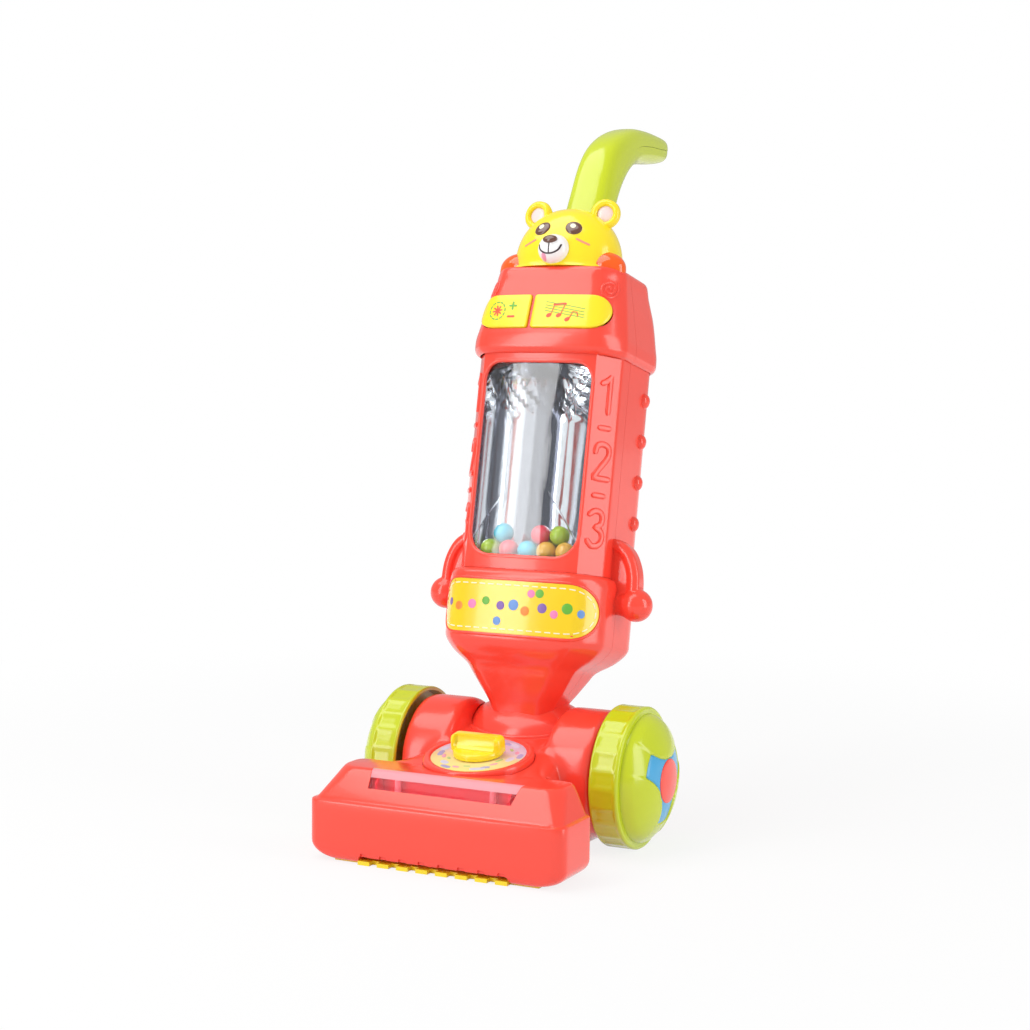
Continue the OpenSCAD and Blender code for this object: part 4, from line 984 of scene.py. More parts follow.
class VACUUM_OT_nozzle_light(bpy.types.Operator):
    """Models the clear pink strip over the ridge and finishes the tray and lamps below it"""
    bl_idname = "vacuum.nozzle_light"
    bl_label = "Nozzle Light"

    def execute(self, context):
        strip = strip_block("nozzle_window_shape", -0.1, 44, 90)
        combine(strip, nozzle("skin", NOZZLE_ROWS), "INTERSECT")
        inner = [(z - 2.2, half - 0.9, front + 0.9, corner) for z, half, front, corner in NOZZLE_ROWS]
        combine(strip, nozzle("inside", inner), "DIFFERENCE")
        soften(strip, 0.35, 2, 25)
        place(strip, ON_BASE)
        # The strip's upper band is painted paler and less clear, a painted reflection of the light on the
        # ridge.
        glass = clear_plastic("Pink clear plastic", colour("pink"), 0.96, 0.03, 1.25, STRIP_PAINTED_SHEEN)
        give(strip, glass, "base", "pink_clear", "nozzle_window")
        dress_nodes(plastic("Crimson plastic", colour("crimson"), gloss=0.3), "lamp_tray")
        low, high = (corner * 1000 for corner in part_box("nozzle_leds"))
        r = (high.y - low.y) / 2
        profile = [(TIP, low.z), (r, low.z), (r, TRAY_TOP - r)] + dome(r, r, TRAY_TOP - r, range(15, 91, 15))
        posts = [place(lathe("post", profile, 32), Matrix.Translation((side * (high.x - r), low.y + r, 0)))
                 for side in (-1, 1)]
        leds = place(join(posts, "nozzle_leds_shape"), MM)
        white = plastic("Lamp white", linear(252, 242, 243), gloss=0.12)
        give(leds, white, "base", "clear_plastic", "nozzle_leds")
        return {"FINISHED"}


def dress_nodes(material, *names):
    """Gives solids of the frame that keep their shape their finish."""
    for name in names:
        mesh = frame["nodes"][name].data
        mesh.materials.clear()
        mesh.materials.append(material)


class VACUUM_OT_dial(bpy.types.Operator):
    """Models the dial: a coral dish, its printed ring and the yellow knob"""
    bl_idname = "vacuum.dial"
    bl_label = "Dial"

    def execute(self, context):
        dish = lathe("dial_disc_shape", [
            (TIP, -1.9), (DIAL_R - 0.2, -1.9), (DIAL_R - 0.05, 2.6), (DIAL_R - 0.3, 4.1), (DIAL_R - 1, 4.8),
            (DIAL_R - 1.9, 5), (DIAL_R - 4.2, 4.9), (DIAL_R - 5.2, 4.4), (DIAL_R - 5.6, 3.9), (5.2, 3.9),
            (5.2, 2), (TIP, 2)], 96)
        give(place(dish, ON_DIAL), coral(), "base", "coral_plastic", "dial_disc")
        self.printed_ring()
        self.knob()
        return {"FINISHED"}

    def printed_ring(self):
        rim = DIAL_R - 6.3
        ring = lathe("dial_sticker_shape", [(7, 4), (rim, 4), (DIAL_R - 6.1, 4.15), (rim, 4.3), (7, 4.3)], 96)
        material, tree, shader, _ = new_material("Ring film")
        skin = dress(tree, shader, moulded_skin(), 0.02, Clouds=0.1, Gloss=0.3)
        middle = JOINTS["dial_turn"]["pos_m"][1]
        stops = ((0, (246, 226, 130)), (0.4, (240, 214, 150)), (0.62, (226, 206, 222)), (1, (206, 196, 226)))
        feed(tree, skin, {"Colour": along_axis(tree, "Y", middle - 0.036, middle + 0.036, stops)})
        give(place(ring, ON_DIAL), material, "base", "sticker_film", "dial_sticker")
        surface = flat(Matrix())
        for i, name in enumerate(("Violet", "Rose", "Leaf", "Lavender")):
            marks = []
            for k in range(6):
                start = 2 * pi * (k / 6 + i / 24 + 0.01)
                radius = (32.5, 29, 25.5, 31)[i] - (k % 2) * 3
                span = (0.16, 0.1, 0.13, 0.22)[(i + k) % 4]
                turns = [start + span * j / 6 for j in range(7)]
                path = [(radius * cos(t), radius * sin(t)) for t in turns]
                width = (4.2, 3, 2.4, 5)[i]
                marks.append(stroke("mark", path, width, surface, 4.25, 4.3 + size("print_lift")))
            piece = place(join(marks, "dial_marks_" + name.lower()), ON_DIAL)
            give(piece, ink(name), "base", "sticker_film")

    def knob(self):
        foot = lathe("dial_knob_shape", [(TIP, 4.9), (18.4, 4.9), (19, 5.3), (19, 8.4), (18.5, 9.4),
                                         (17.4, 9.9), (TIP, 9.9)], 72)
        rings = []
        for z, grow in ((8, 0), (14.6, 0), (16.8, -0.2), (18.4, -0.9), (19.4, -2), (19.9, -3.4)):
            half, deep = 21 + grow, 7.5 + grow
            loop = rounded_box(-half, half, -deep, deep, max(5 + grow, 1.2), 8, 6)
            rings.append([(x, y, z) for x, y in loop])
        grip = sweep("bar", rings)
        scoop = lathe("scoop", [(TIP, -17), (7, -17), (8.6, -15.5), (8.6, 15.5), (7, 17), (TIP, 17)], 64)
        place(scoop, Matrix.Translation((0, -11.2, 18.2)) @ ALONG_X)
        combine(grip, scoop, "DIFFERENCE")
        combine(foot, grip, "UNION")
        soften(foot, 0.7, 3, 40)
        give(place(foot, ON_DIAL), yellow(), "dial", "yellow_plastic", "dial_knob", angle=45)


class VACUUM_OT_neck(bpy.types.Operator):
    """Models the neck: a crowned barrel in the socket with the stub below the funnel"""
    bl_idname = "vacuum.neck"
    bl_label = "Neck"

    def execute(self, context):
        neck = barrel("neck_foot_shape", 0, FOOT_HALF)
        rows = [(22, 23.5, -30, 6, 10.75, 2, 0.5), (35, 28, -33, 9, 12, 2, 0.5),
                (46, 35.1, -37.7, 13.7, 14, 2, 0.5)]
        stub = sweep("stub", [outline(between(rows, mix(22, 46, k / 12))) for k in range(13)])
        combine(neck, stub, "UNION")
        coral_on_body(neck, "neck_foot", angle=35)
        return {"FINISHED"}


# Body shells: skins through the sections, parted in front of the middle, with a real wall

SEAM_Y = -13
WALL_T = 2.4
DOOR_HALF, DOOR_LOW, DOOR_HIGH = 30, 85, 134


def shell_half(name, wall, levels, front):
    """Front or rear half of a shell, with half of the joint line left open."""
    obj = sweep(name, [outline(between(wall.rows, z)) for z in levels], ends=False)
    edit(obj)
    bpy.ops.mesh.select_all(action="SELECT")
    set_back = size("groove") / 2 * (-1 if front else 1)
    bpy.ops.mesh.bisect(plane_co=(0, SEAM_Y + set_back, 0), plane_no=(0, 1, 0), clear_outer=front,
                        clear_inner=not front)
    leave()
    return thicken(obj, WALL_T)


def rear_surface(wall):
    """Surface addressed by the run from the middle of the back, to the left as seen from behind."""
    def at(u, z, out):
        half = wall.line(z)[1][-1]
        return wall.at(copysign(half - abs(u), u) if u else half, z, out)
    return at


def bore(target, radius, matrix, low, high):
    """Drills a hole along the Z axis of a matrix."""
    drill = lathe("drill", [(TIP, low), (radius, low), (radius, high), (TIP, high)], 32)
    return combine(target, place(drill, matrix), "DIFFERENCE")


class VACUUM_OT_lower_casing(bpy.types.Operator):
    """Models the two shells of the funnel and lower casing, and the battery door"""
    bl_idname = "vacuum.lower_casing"
    bl_label = "Lower Casing"

    def execute(self, context):
        levels = spread(46, 86, 20) + spread(86, 129, 8)[1:] + spread(129, 138, 14)[1:]
        front = shell_half("lower_front_shape", LOWER, levels, True)
        coral_on_body(front, "lower_front_shell")
        rear = shell_half("lower_rear_shape", LOWER, levels, False)
        loop = rounded_box(-DOOR_HALF, DOOR_HALF, DOOR_LOW, DOOR_HIGH, 5, 8, 8)
        combine(rear, along_y("door_gap", widened(loop, 0.3), 20, 80), "DIFFERENCE")
        coral_on_body(rear, "lower_rear_shell")
        behind = rear_surface(LOWER)
        door = pad("battery_door_shape", loop, behind, plate_profile(-WALL_T, 0, 0.02),
                   (0, (DOOR_LOW + DOOR_HIGH) / 2))
        for z in (95, 99, 103):
            ridge = stroke("ridge", [(x, z) for x in spread(-14, 14, 8)], 2, behind, -0.3, 0.9)
            combine(door, ridge, "UNION")
        coral_on_body(door, "battery_door")
        return {"FINISHED"}


LABEL_Z = 108
DASH, DASH_PITCH = 4.2, 7.5
# Dots on the label by ink: run, height and radius
LABEL_DOTS = {
    "Pink": ((17, 119.5, 3.1), (-33, 109, 3.6), (37, 105, 3.2)),
    "Green": ((24, 120, 3.4), (-21, 112, 3.3), (47, 110, 4.2)),
    "Sky": ((-10, 97, 3.3), (3, 110, 4.2), (58, 107, 3.2)),
    "Orange": ((-45, 107, 3.4), (13, 106, 3.6)),
    "Violet dot": ((-8, 109, 3.4), (27, 109, 3.8), (-55, 110, 3))}


def label_loop(grow=0.0):
    """Edge of the label: straight sides and round ends, in runs and heights."""
    half, end, rise = 46, 28 + grow, 20.5 + grow
    loop = half_oval(half, LABEL_Z, end, rise)
    top = [(mix(half, -half, k / 24), LABEL_Z + rise) for k in range(1, 24)]
    left = [(-u, z) for u, z in reversed(loop)]
    bottom = [(mix(-half, half, k / 24), LABEL_Z - rise) for k in range(1, 24)]
    return loop + top + left + bottom


class VACUUM_OT_label(bpy.types.Operator):
    """Models the yellow label with its coral edge, dashed border and coloured dots"""
    bl_idname = "vacuum.label"
    bl_label = "Label"

    def execute(self, context):
        plate = pad("label_plate_shape", label_loop(), LOWER.at, plate_profile(0.1, 0.5, 0.012), (0, LABEL_Z))
        film = plastic("Label film", linear(250, 212, 26), gloss=0.16, clouds=0.12, coat=0.4)
        on_body(plate, film, "label_film", "label_plate")
        edge = frame_round("label_edge", label_loop(0.25), LOWER.at,
                           [(0, -0.4), (0, 0.7), (0.3, 0.95), (0.9, 1), (1.5, 0.75), (2.1, 0.1), (2.2, -0.4)])
        coral_on_body(edge)
        self.border()
        self.dots()
        return {"FINISHED"}

    def border(self):
        """Dashed line inside the label's edge."""
        dashes = []
        border = curve(label_loop(-3.4)[::3], 4, closed=True)
        lengths = runs_along(border)
        count = int(lengths[-1] / DASH_PITCH)
        for k in range(count):
            start = lengths[-1] * k / count
            path = []
            for j in range(5):
                s = start + DASH * j / 4
                i = max(n for n in range(len(lengths) - 1) if lengths[n] <= s)
                t = (s - lengths[i]) / (lengths[i + 1] - lengths[i])
                path.append((mix(border[i][0], border[i + 1][0], t), mix(border[i][1], border[i + 1][1], t)))
            dashes.append(stroke("dash", path, 0.9, LOWER.at, 0.4, 0.5 + size("print_lift")))
        on_body(join(dashes, "label_dashes"), ink("White"), "label_film")

    def dots(self):
        profile = [(TIP, 0.4), (1, 0.4), (1, 0.55), (0.9, 0.66), (0.6, 0.74), (0.3, 0.78), (TIP, 0.8)]
        for name, places in LABEL_DOTS.items():
            discs = [pad("dot", ellipse(radius, radius, 28, x=u, z=z), LOWER.at, profile, (u, z))
                     for u, z, radius in places]
            on_body(join(discs, "label_dots_" + name.split()[0].lower()), ink(name), "label_film")


# Tube, with its window, raised digits and studs

WINDOW = rounded_box(-47.4, 47.4, 148, 302, (20, 20, 15, 15), 10, 16)
STUD_Y, STUD_Z, STUD_PITCH = 22, 185, 33
SCREW_X, SCREW_Z = (-50, 50), (158, 288)
DIGIT_RUNS, DIGIT_Z, DASH_Z = (-61.5, 61.5), (278, 226, 174), (252, 199.5)
DIGIT_RELIEF = -0.3, 1.3


def digit_paths():
    """Centre lines of the raised digits, in runs and heights about their own middles."""
    one = [[(-4.6, 8.4), (-1.2, 10.2), (1.8, 13)], [(1.8, 13), (1.8, 0), (1.8, -13)]]
    hook = [(-6, 7), (-4.6, 11.4), (0, 13), (4.8, 11.2), (6, 6.6), (4.2, 1.8), (-1, -5), (-6.4, -12.4)]
    two = [curve(hook, 5) + [(-3, -12.8), (0, -12.8), (6.6, -12.8)]]
    three = [curve([(-5.8, 10.6), (-2, 13), (3, 12.4), (5.4, 8.4), (4, 3.4), (-0.6, 1)], 5)
             + curve([(-0.6, 1), (4.6, -1.6), (6.2, -7), (3, -12), (-2.4, -13), (-6.2, -9.8)], 5)[1:]]
    return one, two, three


class VACUUM_OT_tube(bpy.types.Operator):
    """Models the two shells of the tube with the window opening, digits, dashes and studs"""
    bl_idname = "vacuum.tube"
    bl_label = "Tube"

    def execute(self, context):
        levels = spread(138.2, 308, 40)
        front = shell_half("tube_front_shape", TUBE, levels, True)
        combine(front, along_y("opening", WINDOW, -80, -20), "DIFFERENCE")
        coral_on_body(front, "tube_front_shell")
        rear = shell_half("tube_rear_shape", TUBE, levels, False)
        for x in SCREW_X:
            for z in SCREW_Z:
                bore(rear, 3.4, Matrix.Translation((x, 60, z)) @ Matrix.Rotation(pi / 2, 4, "X"), -4, 40)
        coral_on_body(rear, "tube_rear_shell")
        self.window_rim()
        self.studs()
        self.digits()
        return {"FINISHED"}

    def window_rim(self):
        loop = [(copysign(TUBE.run_to(abs(x), z), x), z) for x, z in WINDOW]
        section = [(-1.5, -2.2), (-1.5, -0.9), (-1.1, -0.1), (-0.2, 0.35), (0.8, 0.4), (1.5, 0.1),
                   (1.6, -0.5)]
        coral_on_body(frame_round("window_rim", loop, TUBE.at, section))

    def studs(self):
        crown = dome(6, 4, 62, (10, 25, 40, 55, 70, 82))
        profile = [(TIP, 58), (6.2, 58), (6.2, 62.2)] + crown + [(TIP, 66)]
        spots = [Matrix.Translation((0, STUD_Y, STUD_Z + STUD_PITCH * k)) for k in range(4)]
        studs = [place(lathe("stud", profile, 32), spot @ ALONG_X) for spot in spots]
        right = join(studs, "studs_right")
        left = mirrored(right, "studs_left")
        for piece in (right, left):
            coral_on_body(piece)

    def digits(self):
        marks = []
        scale = size("digit_height") / 26
        places = [(p, run, z) for run in DIGIT_RUNS for p, z in zip(digit_paths(), DIGIT_Z)]
        for paths, run, z in places:
            for path in paths:
                at_run = [(run + u * scale, z + v * scale) for u, v in path]
                marks.append(stroke("digit", at_run, 4.8, TUBE.at, *DIGIT_RELIEF))
        for z in DASH_Z:
            for run in DIGIT_RUNS:
                path = [(run - 4, z), (run, z), (run + 4, z)]
                marks.append(stroke("bar", path, 4.4, TUBE.at, *DIGIT_RELIEF))
        coral_on_body(join(marks, "digits"))


TROUGH_Y, TROUGH_R, DOME_Z = -41.4, 48.4, 262
BEAD_R, BEAD_SEAM = 8, 0.12
# Beads by colour: display colour, and places as steps to the right, to the back and up
BEADS = {
    "lime": ((150, 176, 20), ((-2, 0, 0), (0, 1, 1), (1, 0, 1), (-2, 2, 0))),
    "teal": ((40, 168, 190), ((0, 0, 0), (-2, 0, 1), (0, 2, 0))),
    "amber": ((214, 160, 50), ((1, 0, 0), (2, 0, 0), (1, 1, 0), (-2, 1, 0))),
    "red": ((214, 44, 66), ((-1, 0, 0), (0, 1, 0), (-1, 1, 0), (-1, 2, 0), (0, 0, 1)))}


class VACUUM_OT_bead_chamber(bpy.types.Operator):
    """Models the clear window, the bright trough with its ribbed head, and the loose beads"""
    bl_idname = "vacuum.bead_chamber"
    bl_label = "Bead Chamber"

    def execute(self, context):
        loop = [(copysign(TUBE.run_to(abs(x), z), x), z) for x, z in widened(WINDOW, 3)]
        profile = ([(share, -4.1) for share in (TIP, 0.35, 0.7, 1)]
                   + [(share, -2.6) for share in (1, 0.85, 0.7, 0.5, 0.3, TIP)])
        lens = pad("window_lens_shape", loop, TUBE.at, profile, (0, 225))
        glass = clear_plastic("Clear plastic", linear(250, 252, 253), 1, 0.02)
        on_body(lens, glass, "clear_plastic", "window_lens")
        self.trough()
        self.beads()
        dress_nodes(plastic("Grey plastic", linear(200, 200, 206)), "chamber_floor")
        return {"FINISHED"}

    def trough(self):
        """Half-round trough with flat panels, closed above by a ribbed half dome."""
        steps = 120
        rows = [(143.6, 1), (200, 1), (DOME_Z, 1)]
        rows += [(DOME_Z + 3.5 * k, sqrt(1 - (0.08 * k) ** 6)) for k in range(1, 11)]
        rows += [(299.4, 0.66), (301.4, 0.44), (303.2, 0.22), (304.5, 0.04)]
        rings = []
        for n, (z, share) in enumerate(rows):
            ribbed = ease((z - DOME_Z) / 14) * (1 if n % 2 else -1)
            ring = []
            for k in range(steps + 1):
                t = pi * k / steps
                panel = 0.8 * (1 - abs(sin(4.5 * t)))
                rib = 1.5 * ribbed * cos(22 * t + 1.3 * n)
                r = max(TROUGH_R * share - panel - rib * share, 0.5)
                ring.append((r * cos(t), TROUGH_Y + r * sin(t), z))
            rings.append(ring)
        trough = begin(bpy.ops.mesh.primitive_grid_add, "mirror_liner_shape", size=1,
                       x_subdivisions=len(rings[0]) - 1, y_subdivisions=len(rings) - 1)
        for v, p in zip(trough.data.vertices, [p for ring in rings for p in ring]):
            v.co = p
        edit(trough)
        face_outwards()
        thicken(trough, 0.8, 1)
        on_body(trough, self.plating(), "bright_plastic", "mirror_liner", angle=30)

    def plating(self):
        """Bright plating with grey and dark bands painted along the body, standing in for the reflections in
        the chrome.
        """
        material, tree, shader, _ = new_material("Bright plating")
        skin = dress(tree, shader, brushed_metal(), 0.02, Gloss=0.04)
        feed(tree, shader, {"Metallic": 1})
        # Painted reflections: bands of bright, pale, mid and dark grey across X, fixed on the surface.
        bright, pale, mid, dark = (236, 238, 242), (170, 172, 180), (116, 118, 128), (78, 80, 90)
        stops = ((0, bright), (0.02, bright), (0.027, dark), (0.065, mid), (0.08, bright), (0.18, bright),
                 (0.2, pale), (0.265, pale), (0.28, mid), (0.345, mid), (0.36, dark), (0.48, dark),
                 (0.5, bright), (1, bright))
        feed(tree, skin, {"Colour": along_axis(tree, "X", -TROUGH_R / 1000, TROUGH_R / 1000, stops)})
        return material

    def beads(self):
        """Beads in close-packed rows on the floor of the chamber, each with a faint seam."""
        step = 2 * BEAD_R + 0.15
        row, rise = step * sqrt(3) / 2, step * sqrt(2 / 3)
        start_y, start_z = -48.85 + BEAD_R + 3, 146 + BEAD_R + 0.15
        profile = [(TIP, -BEAD_R)]
        for k in range(1, 24):
            t = -pi / 2 + pi * k / 24
            seam = BEAD_SEAM if k == 12 else 0
            profile.append(((BEAD_R - BEAD_SEAM + seam) * cos(t), (BEAD_R - BEAD_SEAM) * sin(t)))
        profile.append((TIP, BEAD_R - 0.05))
        for name, (tint, places) in BEADS.items():
            balls = []
            for x, back, layer in places:
                across, deep = step * (x + back / 2 + layer / 2), row * (back + layer / 3)
                spot = Matrix.Translation((across, start_y + deep, start_z + rise * layer))
                tilt = Matrix.Rotation(0.9 * x + back, 4, "X") @ Matrix.Rotation(0.7 * back + layer, 4, "Y")
                balls.append(place(lathe("bead", profile, 40), spot @ tilt))
            material = plastic("Bead " + name, linear(*tint), gloss=0.12, coat=0.6)
            on_body(join(balls, "beads_" + name + "_shape"), material, "bead_" + name, "beads_" + name)


# Cap, with its deck, buttons and lamps

DECK_LOW, DECK_TOP = 376, 380
# Height of the buttons' middle, how deep they reach into the cap and how far they stand out of it
BUTTON_Z, BUTTON_BACK, BUTTON_TOP = 340.5, -3.4, 2.15
SPEAKER_Z, HOLES_R = 336.8, 9
SPIRAL_RUN, SPIRAL_Z = 52.5, 361.5
LAMP_X, LAMP_Y, LAMP_DEPTH = 37, -22.5, 0.66


def button_loop(side, grow=0.0):
    """Edge of a button: square at the split and round at the outer end, in runs and heights."""
    split, middle, rise, straight, end = -8.5, BUTTON_Z, 13.6 + grow, 40, 18 + grow
    inner = split + side * (1.5 - grow)
    points = [(side * u, z) for u, z in half_oval(straight, middle, end, rise)]
    corner = 1.6
    high = middle + rise
    back = [(inner, high - corner), (inner + side * 0.5, high - 0.5), (inner + side * corner, high)]
    top = [(mix(side * straight, inner + side * corner, k / 10), high) for k in range(1, 10)]
    edge = [(inner, mix(high - corner, middle - rise + corner, k / 8)) for k in range(1, 8)]
    low = [(u, 2 * middle - z) for u, z in back]
    base = [(mix(inner + side * corner, side * straight, k / 10), middle - rise) for k in range(1, 10)]
    return points + top + back[::-1] + edge + low + base


def button_gap(side, share):
    """Cutting block for a button's opening, carried along a share of the button's travel."""
    return sweep("button_gap", [[CAP.at(u, z, out) + PRESS * share for u, z in button_loop(side, gap)]
                                for gap, out in ((2.4, -9), (1.9, -3), (0.3, -1), (0.3, 6))])


def spiral(centre, radius, turns):
    """Path that winds outwards from a centre."""
    steps = 40
    path = []
    for k in range(steps + 1):
        t = 2 * pi * turns * k / steps
        r = mix(0.9, radius, k / steps)
        path.append((centre[0] + r * cos(t), centre[1] + r * sin(t)))
    return path


class VACUUM_OT_cap(bpy.types.Operator):
    """Models the two shells of the cap with the button openings, the deck, spirals and speaker holes"""
    bl_idname = "vacuum.cap"
    bl_label = "Cap"

    def execute(self, context):
        levels = spread(307.8, 326, 20) + spread(326, 368, 14)[1:] + spread(368, DECK_LOW, 6)[1:]
        front = shell_half("cap_front_shape", CAP, levels, True)
        for side in (-1, 1):
            for share in (0, 1):
                combine(front, button_gap(side, share), "DIFFERENCE")
        coral_on_body(front, "cap_front_shell")
        rear = shell_half("cap_rear_shape", CAP, levels, False)
        for k in range(7):
            x, z = (HOLES_R * cos(k * pi / 3), HOLES_R * sin(k * pi / 3)) if k < 6 else (0, 0)
            spot = Matrix.Translation((x, 0, SPEAKER_Z + z))
            bore(rear, 1.8, spot @ Matrix.Rotation(-pi / 2, 4, "X"), 30, 70)
        coral_on_body(rear, "cap_rear_shell")
        top = spread(DECK_LOW + 0.05, DECK_TOP, 12)
        deck = sweep("cap_deck_shape", [outline(between(CAP.rows, z)) for z in top])
        coral_on_body(deck, "cap_deck")
        curls = [stroke("curl", spiral((side * SPIRAL_RUN, SPIRAL_Z), 8.8, 2.1), 2.1, CAP.at, -0.3, 0.8)
                 for side in (-1, 1)]
        coral_on_body(join(curls, "cap_spirals"), angle=50)
        return {"FINISHED"}


class VACUUM_OT_buttons(bpy.types.Operator):
    """Models the two yellow buttons with their printed signs"""
    bl_idname = "vacuum.buttons"
    bl_label = "Buttons"

    def execute(self, context):
        for side, name in ((-1, "power"), (1, "music")):
            loop = button_loop(side)
            middle = (sum(u for u, _ in loop) / len(loop), BUTTON_Z)
            body = pad("button_%s_shape" % name, loop, CAP.at,
                       [(share, BUTTON_BACK) for share in (TIP, 0.5, 1)] + [(1, 1), (0.995, 1.6), (0.975, 2)]
                       + [(share, BUTTON_TOP) for share in [0.94] + INNER_SHARES], middle)
            on_body(body, yellow(), "yellow_plastic", "button_" + name, body=name + "_button")
        self.fan_sign()
        self.music_sign()
        return {"FINISHED"}

    def sign(self, name, ink_name, body, strokes, dots=()):
        """One colour of a printed sign: lines with a width, and oval dots."""
        low = BUTTON_TOP - 0.05
        high = low + size("print_lift")
        marks = [stroke("line", path, width, CAP.at, low, high) for path, width in strokes]
        profile = [(TIP, low), (1, low), (1, low + 0.12), (0.85, high), (0.4, high), (TIP, high)]
        marks += [pad("dot", ellipse(across, up, 20, turn, u, z), CAP.at, profile, (u, z))
                  for u, z, across, up, turn in dots]
        on_body(join(marks, name), ink(ink_name), "yellow_plastic", body=body)

    def fan_sign(self):
        u, z = -38, BUTTON_Z
        dashes = []
        for k in range(12):
            t = 2 * pi * k / 12
            dashes.append(([(u + 6.6 * cos(t + s), z + 7.2 * sin(t + s)) for s in (0, 0.13, 0.26)], 1.1))
        plus = [([(-27.5, 344.6), (-22, 344.6)], 1.6), ([(-24.8, 341.8), (-24.8, 347.4)], 1.6)]
        self.sign("sign_ring", "Green", "power_button", dashes + plus)
        rays = []
        for k in range(4):
            t = pi * k / 4 + 0.2
            across, up = 3.6 * cos(t), 3.9 * sin(t)
            rays.append(([(u - across, z - up), (u + across, z + up)], 1.4))
        rays.append(([(-27.5, 335.6), (-22.5, 335.6)], 1.8))
        self.sign("sign_star", "Vermilion", "power_button", rays)

    def music_sign(self):
        staves = []
        for k in range(4):
            z = 346.5 - 2.3 * k + (0.8 if k else 1.2)
            staves.append(([(mix(4, 37, j / 8), z - 0.72 * j) for j in range(9)], 0.55))
        self.sign("sign_staves", "Green", "music_button", staves)
        stems = [([(9.4, 336.6), (11.6, 345.4)], 0.9), ([(17.6, 336.6), (20, 345.4)], 0.9),
                 ([(11.4, 345.4), (20.2, 345.8)], 2.2),
                 ([(25.2, 333.6), (27.6, 339.6), (31, 338.8), (32.2, 335.6)], 1)]
        heads = [(8, 336.4, 2.3, 1.7, 0.5), (16.2, 336.4, 2.3, 1.7, 0.5), (23.8, 333.2, 2.3, 1.7, 0.5)]
        self.sign("sign_notes", "Vermilion", "music_button", stems, heads)


ARM_Y, KNOB_Z = -9, 119


class VACUUM_OT_arms(bpy.types.Operator):
    """Models the two side arms: a bent band with a web, ending in a stub with a round knob"""
    bl_idname = "vacuum.arms"
    bl_label = "Arms"

    def execute(self, context):
        path = curve([(58, 165.5), (66, 164), (74, 158), (79.4, 147), (81.4, 135), (81, 122)], 6)
        rings = []
        for i, (x, z) in enumerate(path):
            along = direction(path, i)
            rings.append([(x + along.y * v, ARM_Y + u, z - along.x * v)
                          for u, v in rounded_box(-8, 8, -4.4, 4.4, 3.4, 5, 2)])
        arm = sweep("arm_right_shape", rings)
        web_loop = [(58, 164)] + path[2:] + [(81, KNOB_Z), (58, KNOB_Z)]
        web = along_y("web", web_loop, ARM_Y - 4.6, ARM_Y + 4.6)
        profile = ([(TIP, 60), (8.8, 60), (8.8, 71), (9.4, 72.5)] + dome(12.9, 12.9, 83, range(-40, 90, 10))
                   + [(TIP, 95.9)])
        knob = lathe("knob", profile, 48)
        place(knob, Matrix.Translation((0, ARM_Y, KNOB_Z)) @ ALONG_X)
        arm = blend_forms(join([arm, web, knob], "arm_right_shape"), 0.9, 8)
        other = mirrored(arm, "arm_left_shape")
        coral_on_body(arm, "arm_right")
        coral_on_body(other, "arm_left")
        return {"FINISHED"}


# Bear's head, lamps and handle

HEAD_Y, HEAD_HALF, HEAD_DEPTH, HEAD_H = -12, 44.2, 31, 53
# Power of the head's oval plan
HEAD_POWER = 2.2
EAR_X, EAR_Y, EAR_Z = 29.4, -14, 428
MUZZLE = Vector((0, -40, 393))
EYE_X, EYE_Z, EYE_TURN = 13.5, 411, 0.4


def head_share(z):
    """Share of its full width that the head has at a height."""
    h = (z - DECK_TOP - 8) / (HEAD_H - 8)
    return 1 if h <= 0 else sqrt(max(1 - h**2.1, 0.0))


def head_at(x, z, out):
    """Place on the front of the head."""
    def spot(x, z):
        share = max(head_share(z), TIP)
        across = min(abs(x) / (HEAD_HALF * share), 0.999)
        return Vector((x, HEAD_Y - HEAD_DEPTH * share * (1 - across**HEAD_POWER) ** (1 / HEAD_POWER), z))
    p = spot(x, z)
    normal = (spot(x + 0.3, z) - spot(x - 0.3, z)).cross(spot(x, z + 0.3) - spot(x, z - 0.3)).normalized()
    return p + normal * out


def muzzle_at(x, z, out):
    """Place on the front of the muzzle, from its own middle."""
    across = min(hypot(x / 13, z / 12.2), 0.995)
    rise = 12 * (1 - across**2.4) ** (1 / 2.4)
    normal = Vector((x / 169, -rise / 144, z / 149)).normalized()
    return MUZZLE + Vector((x, -rise, z)) + normal * out


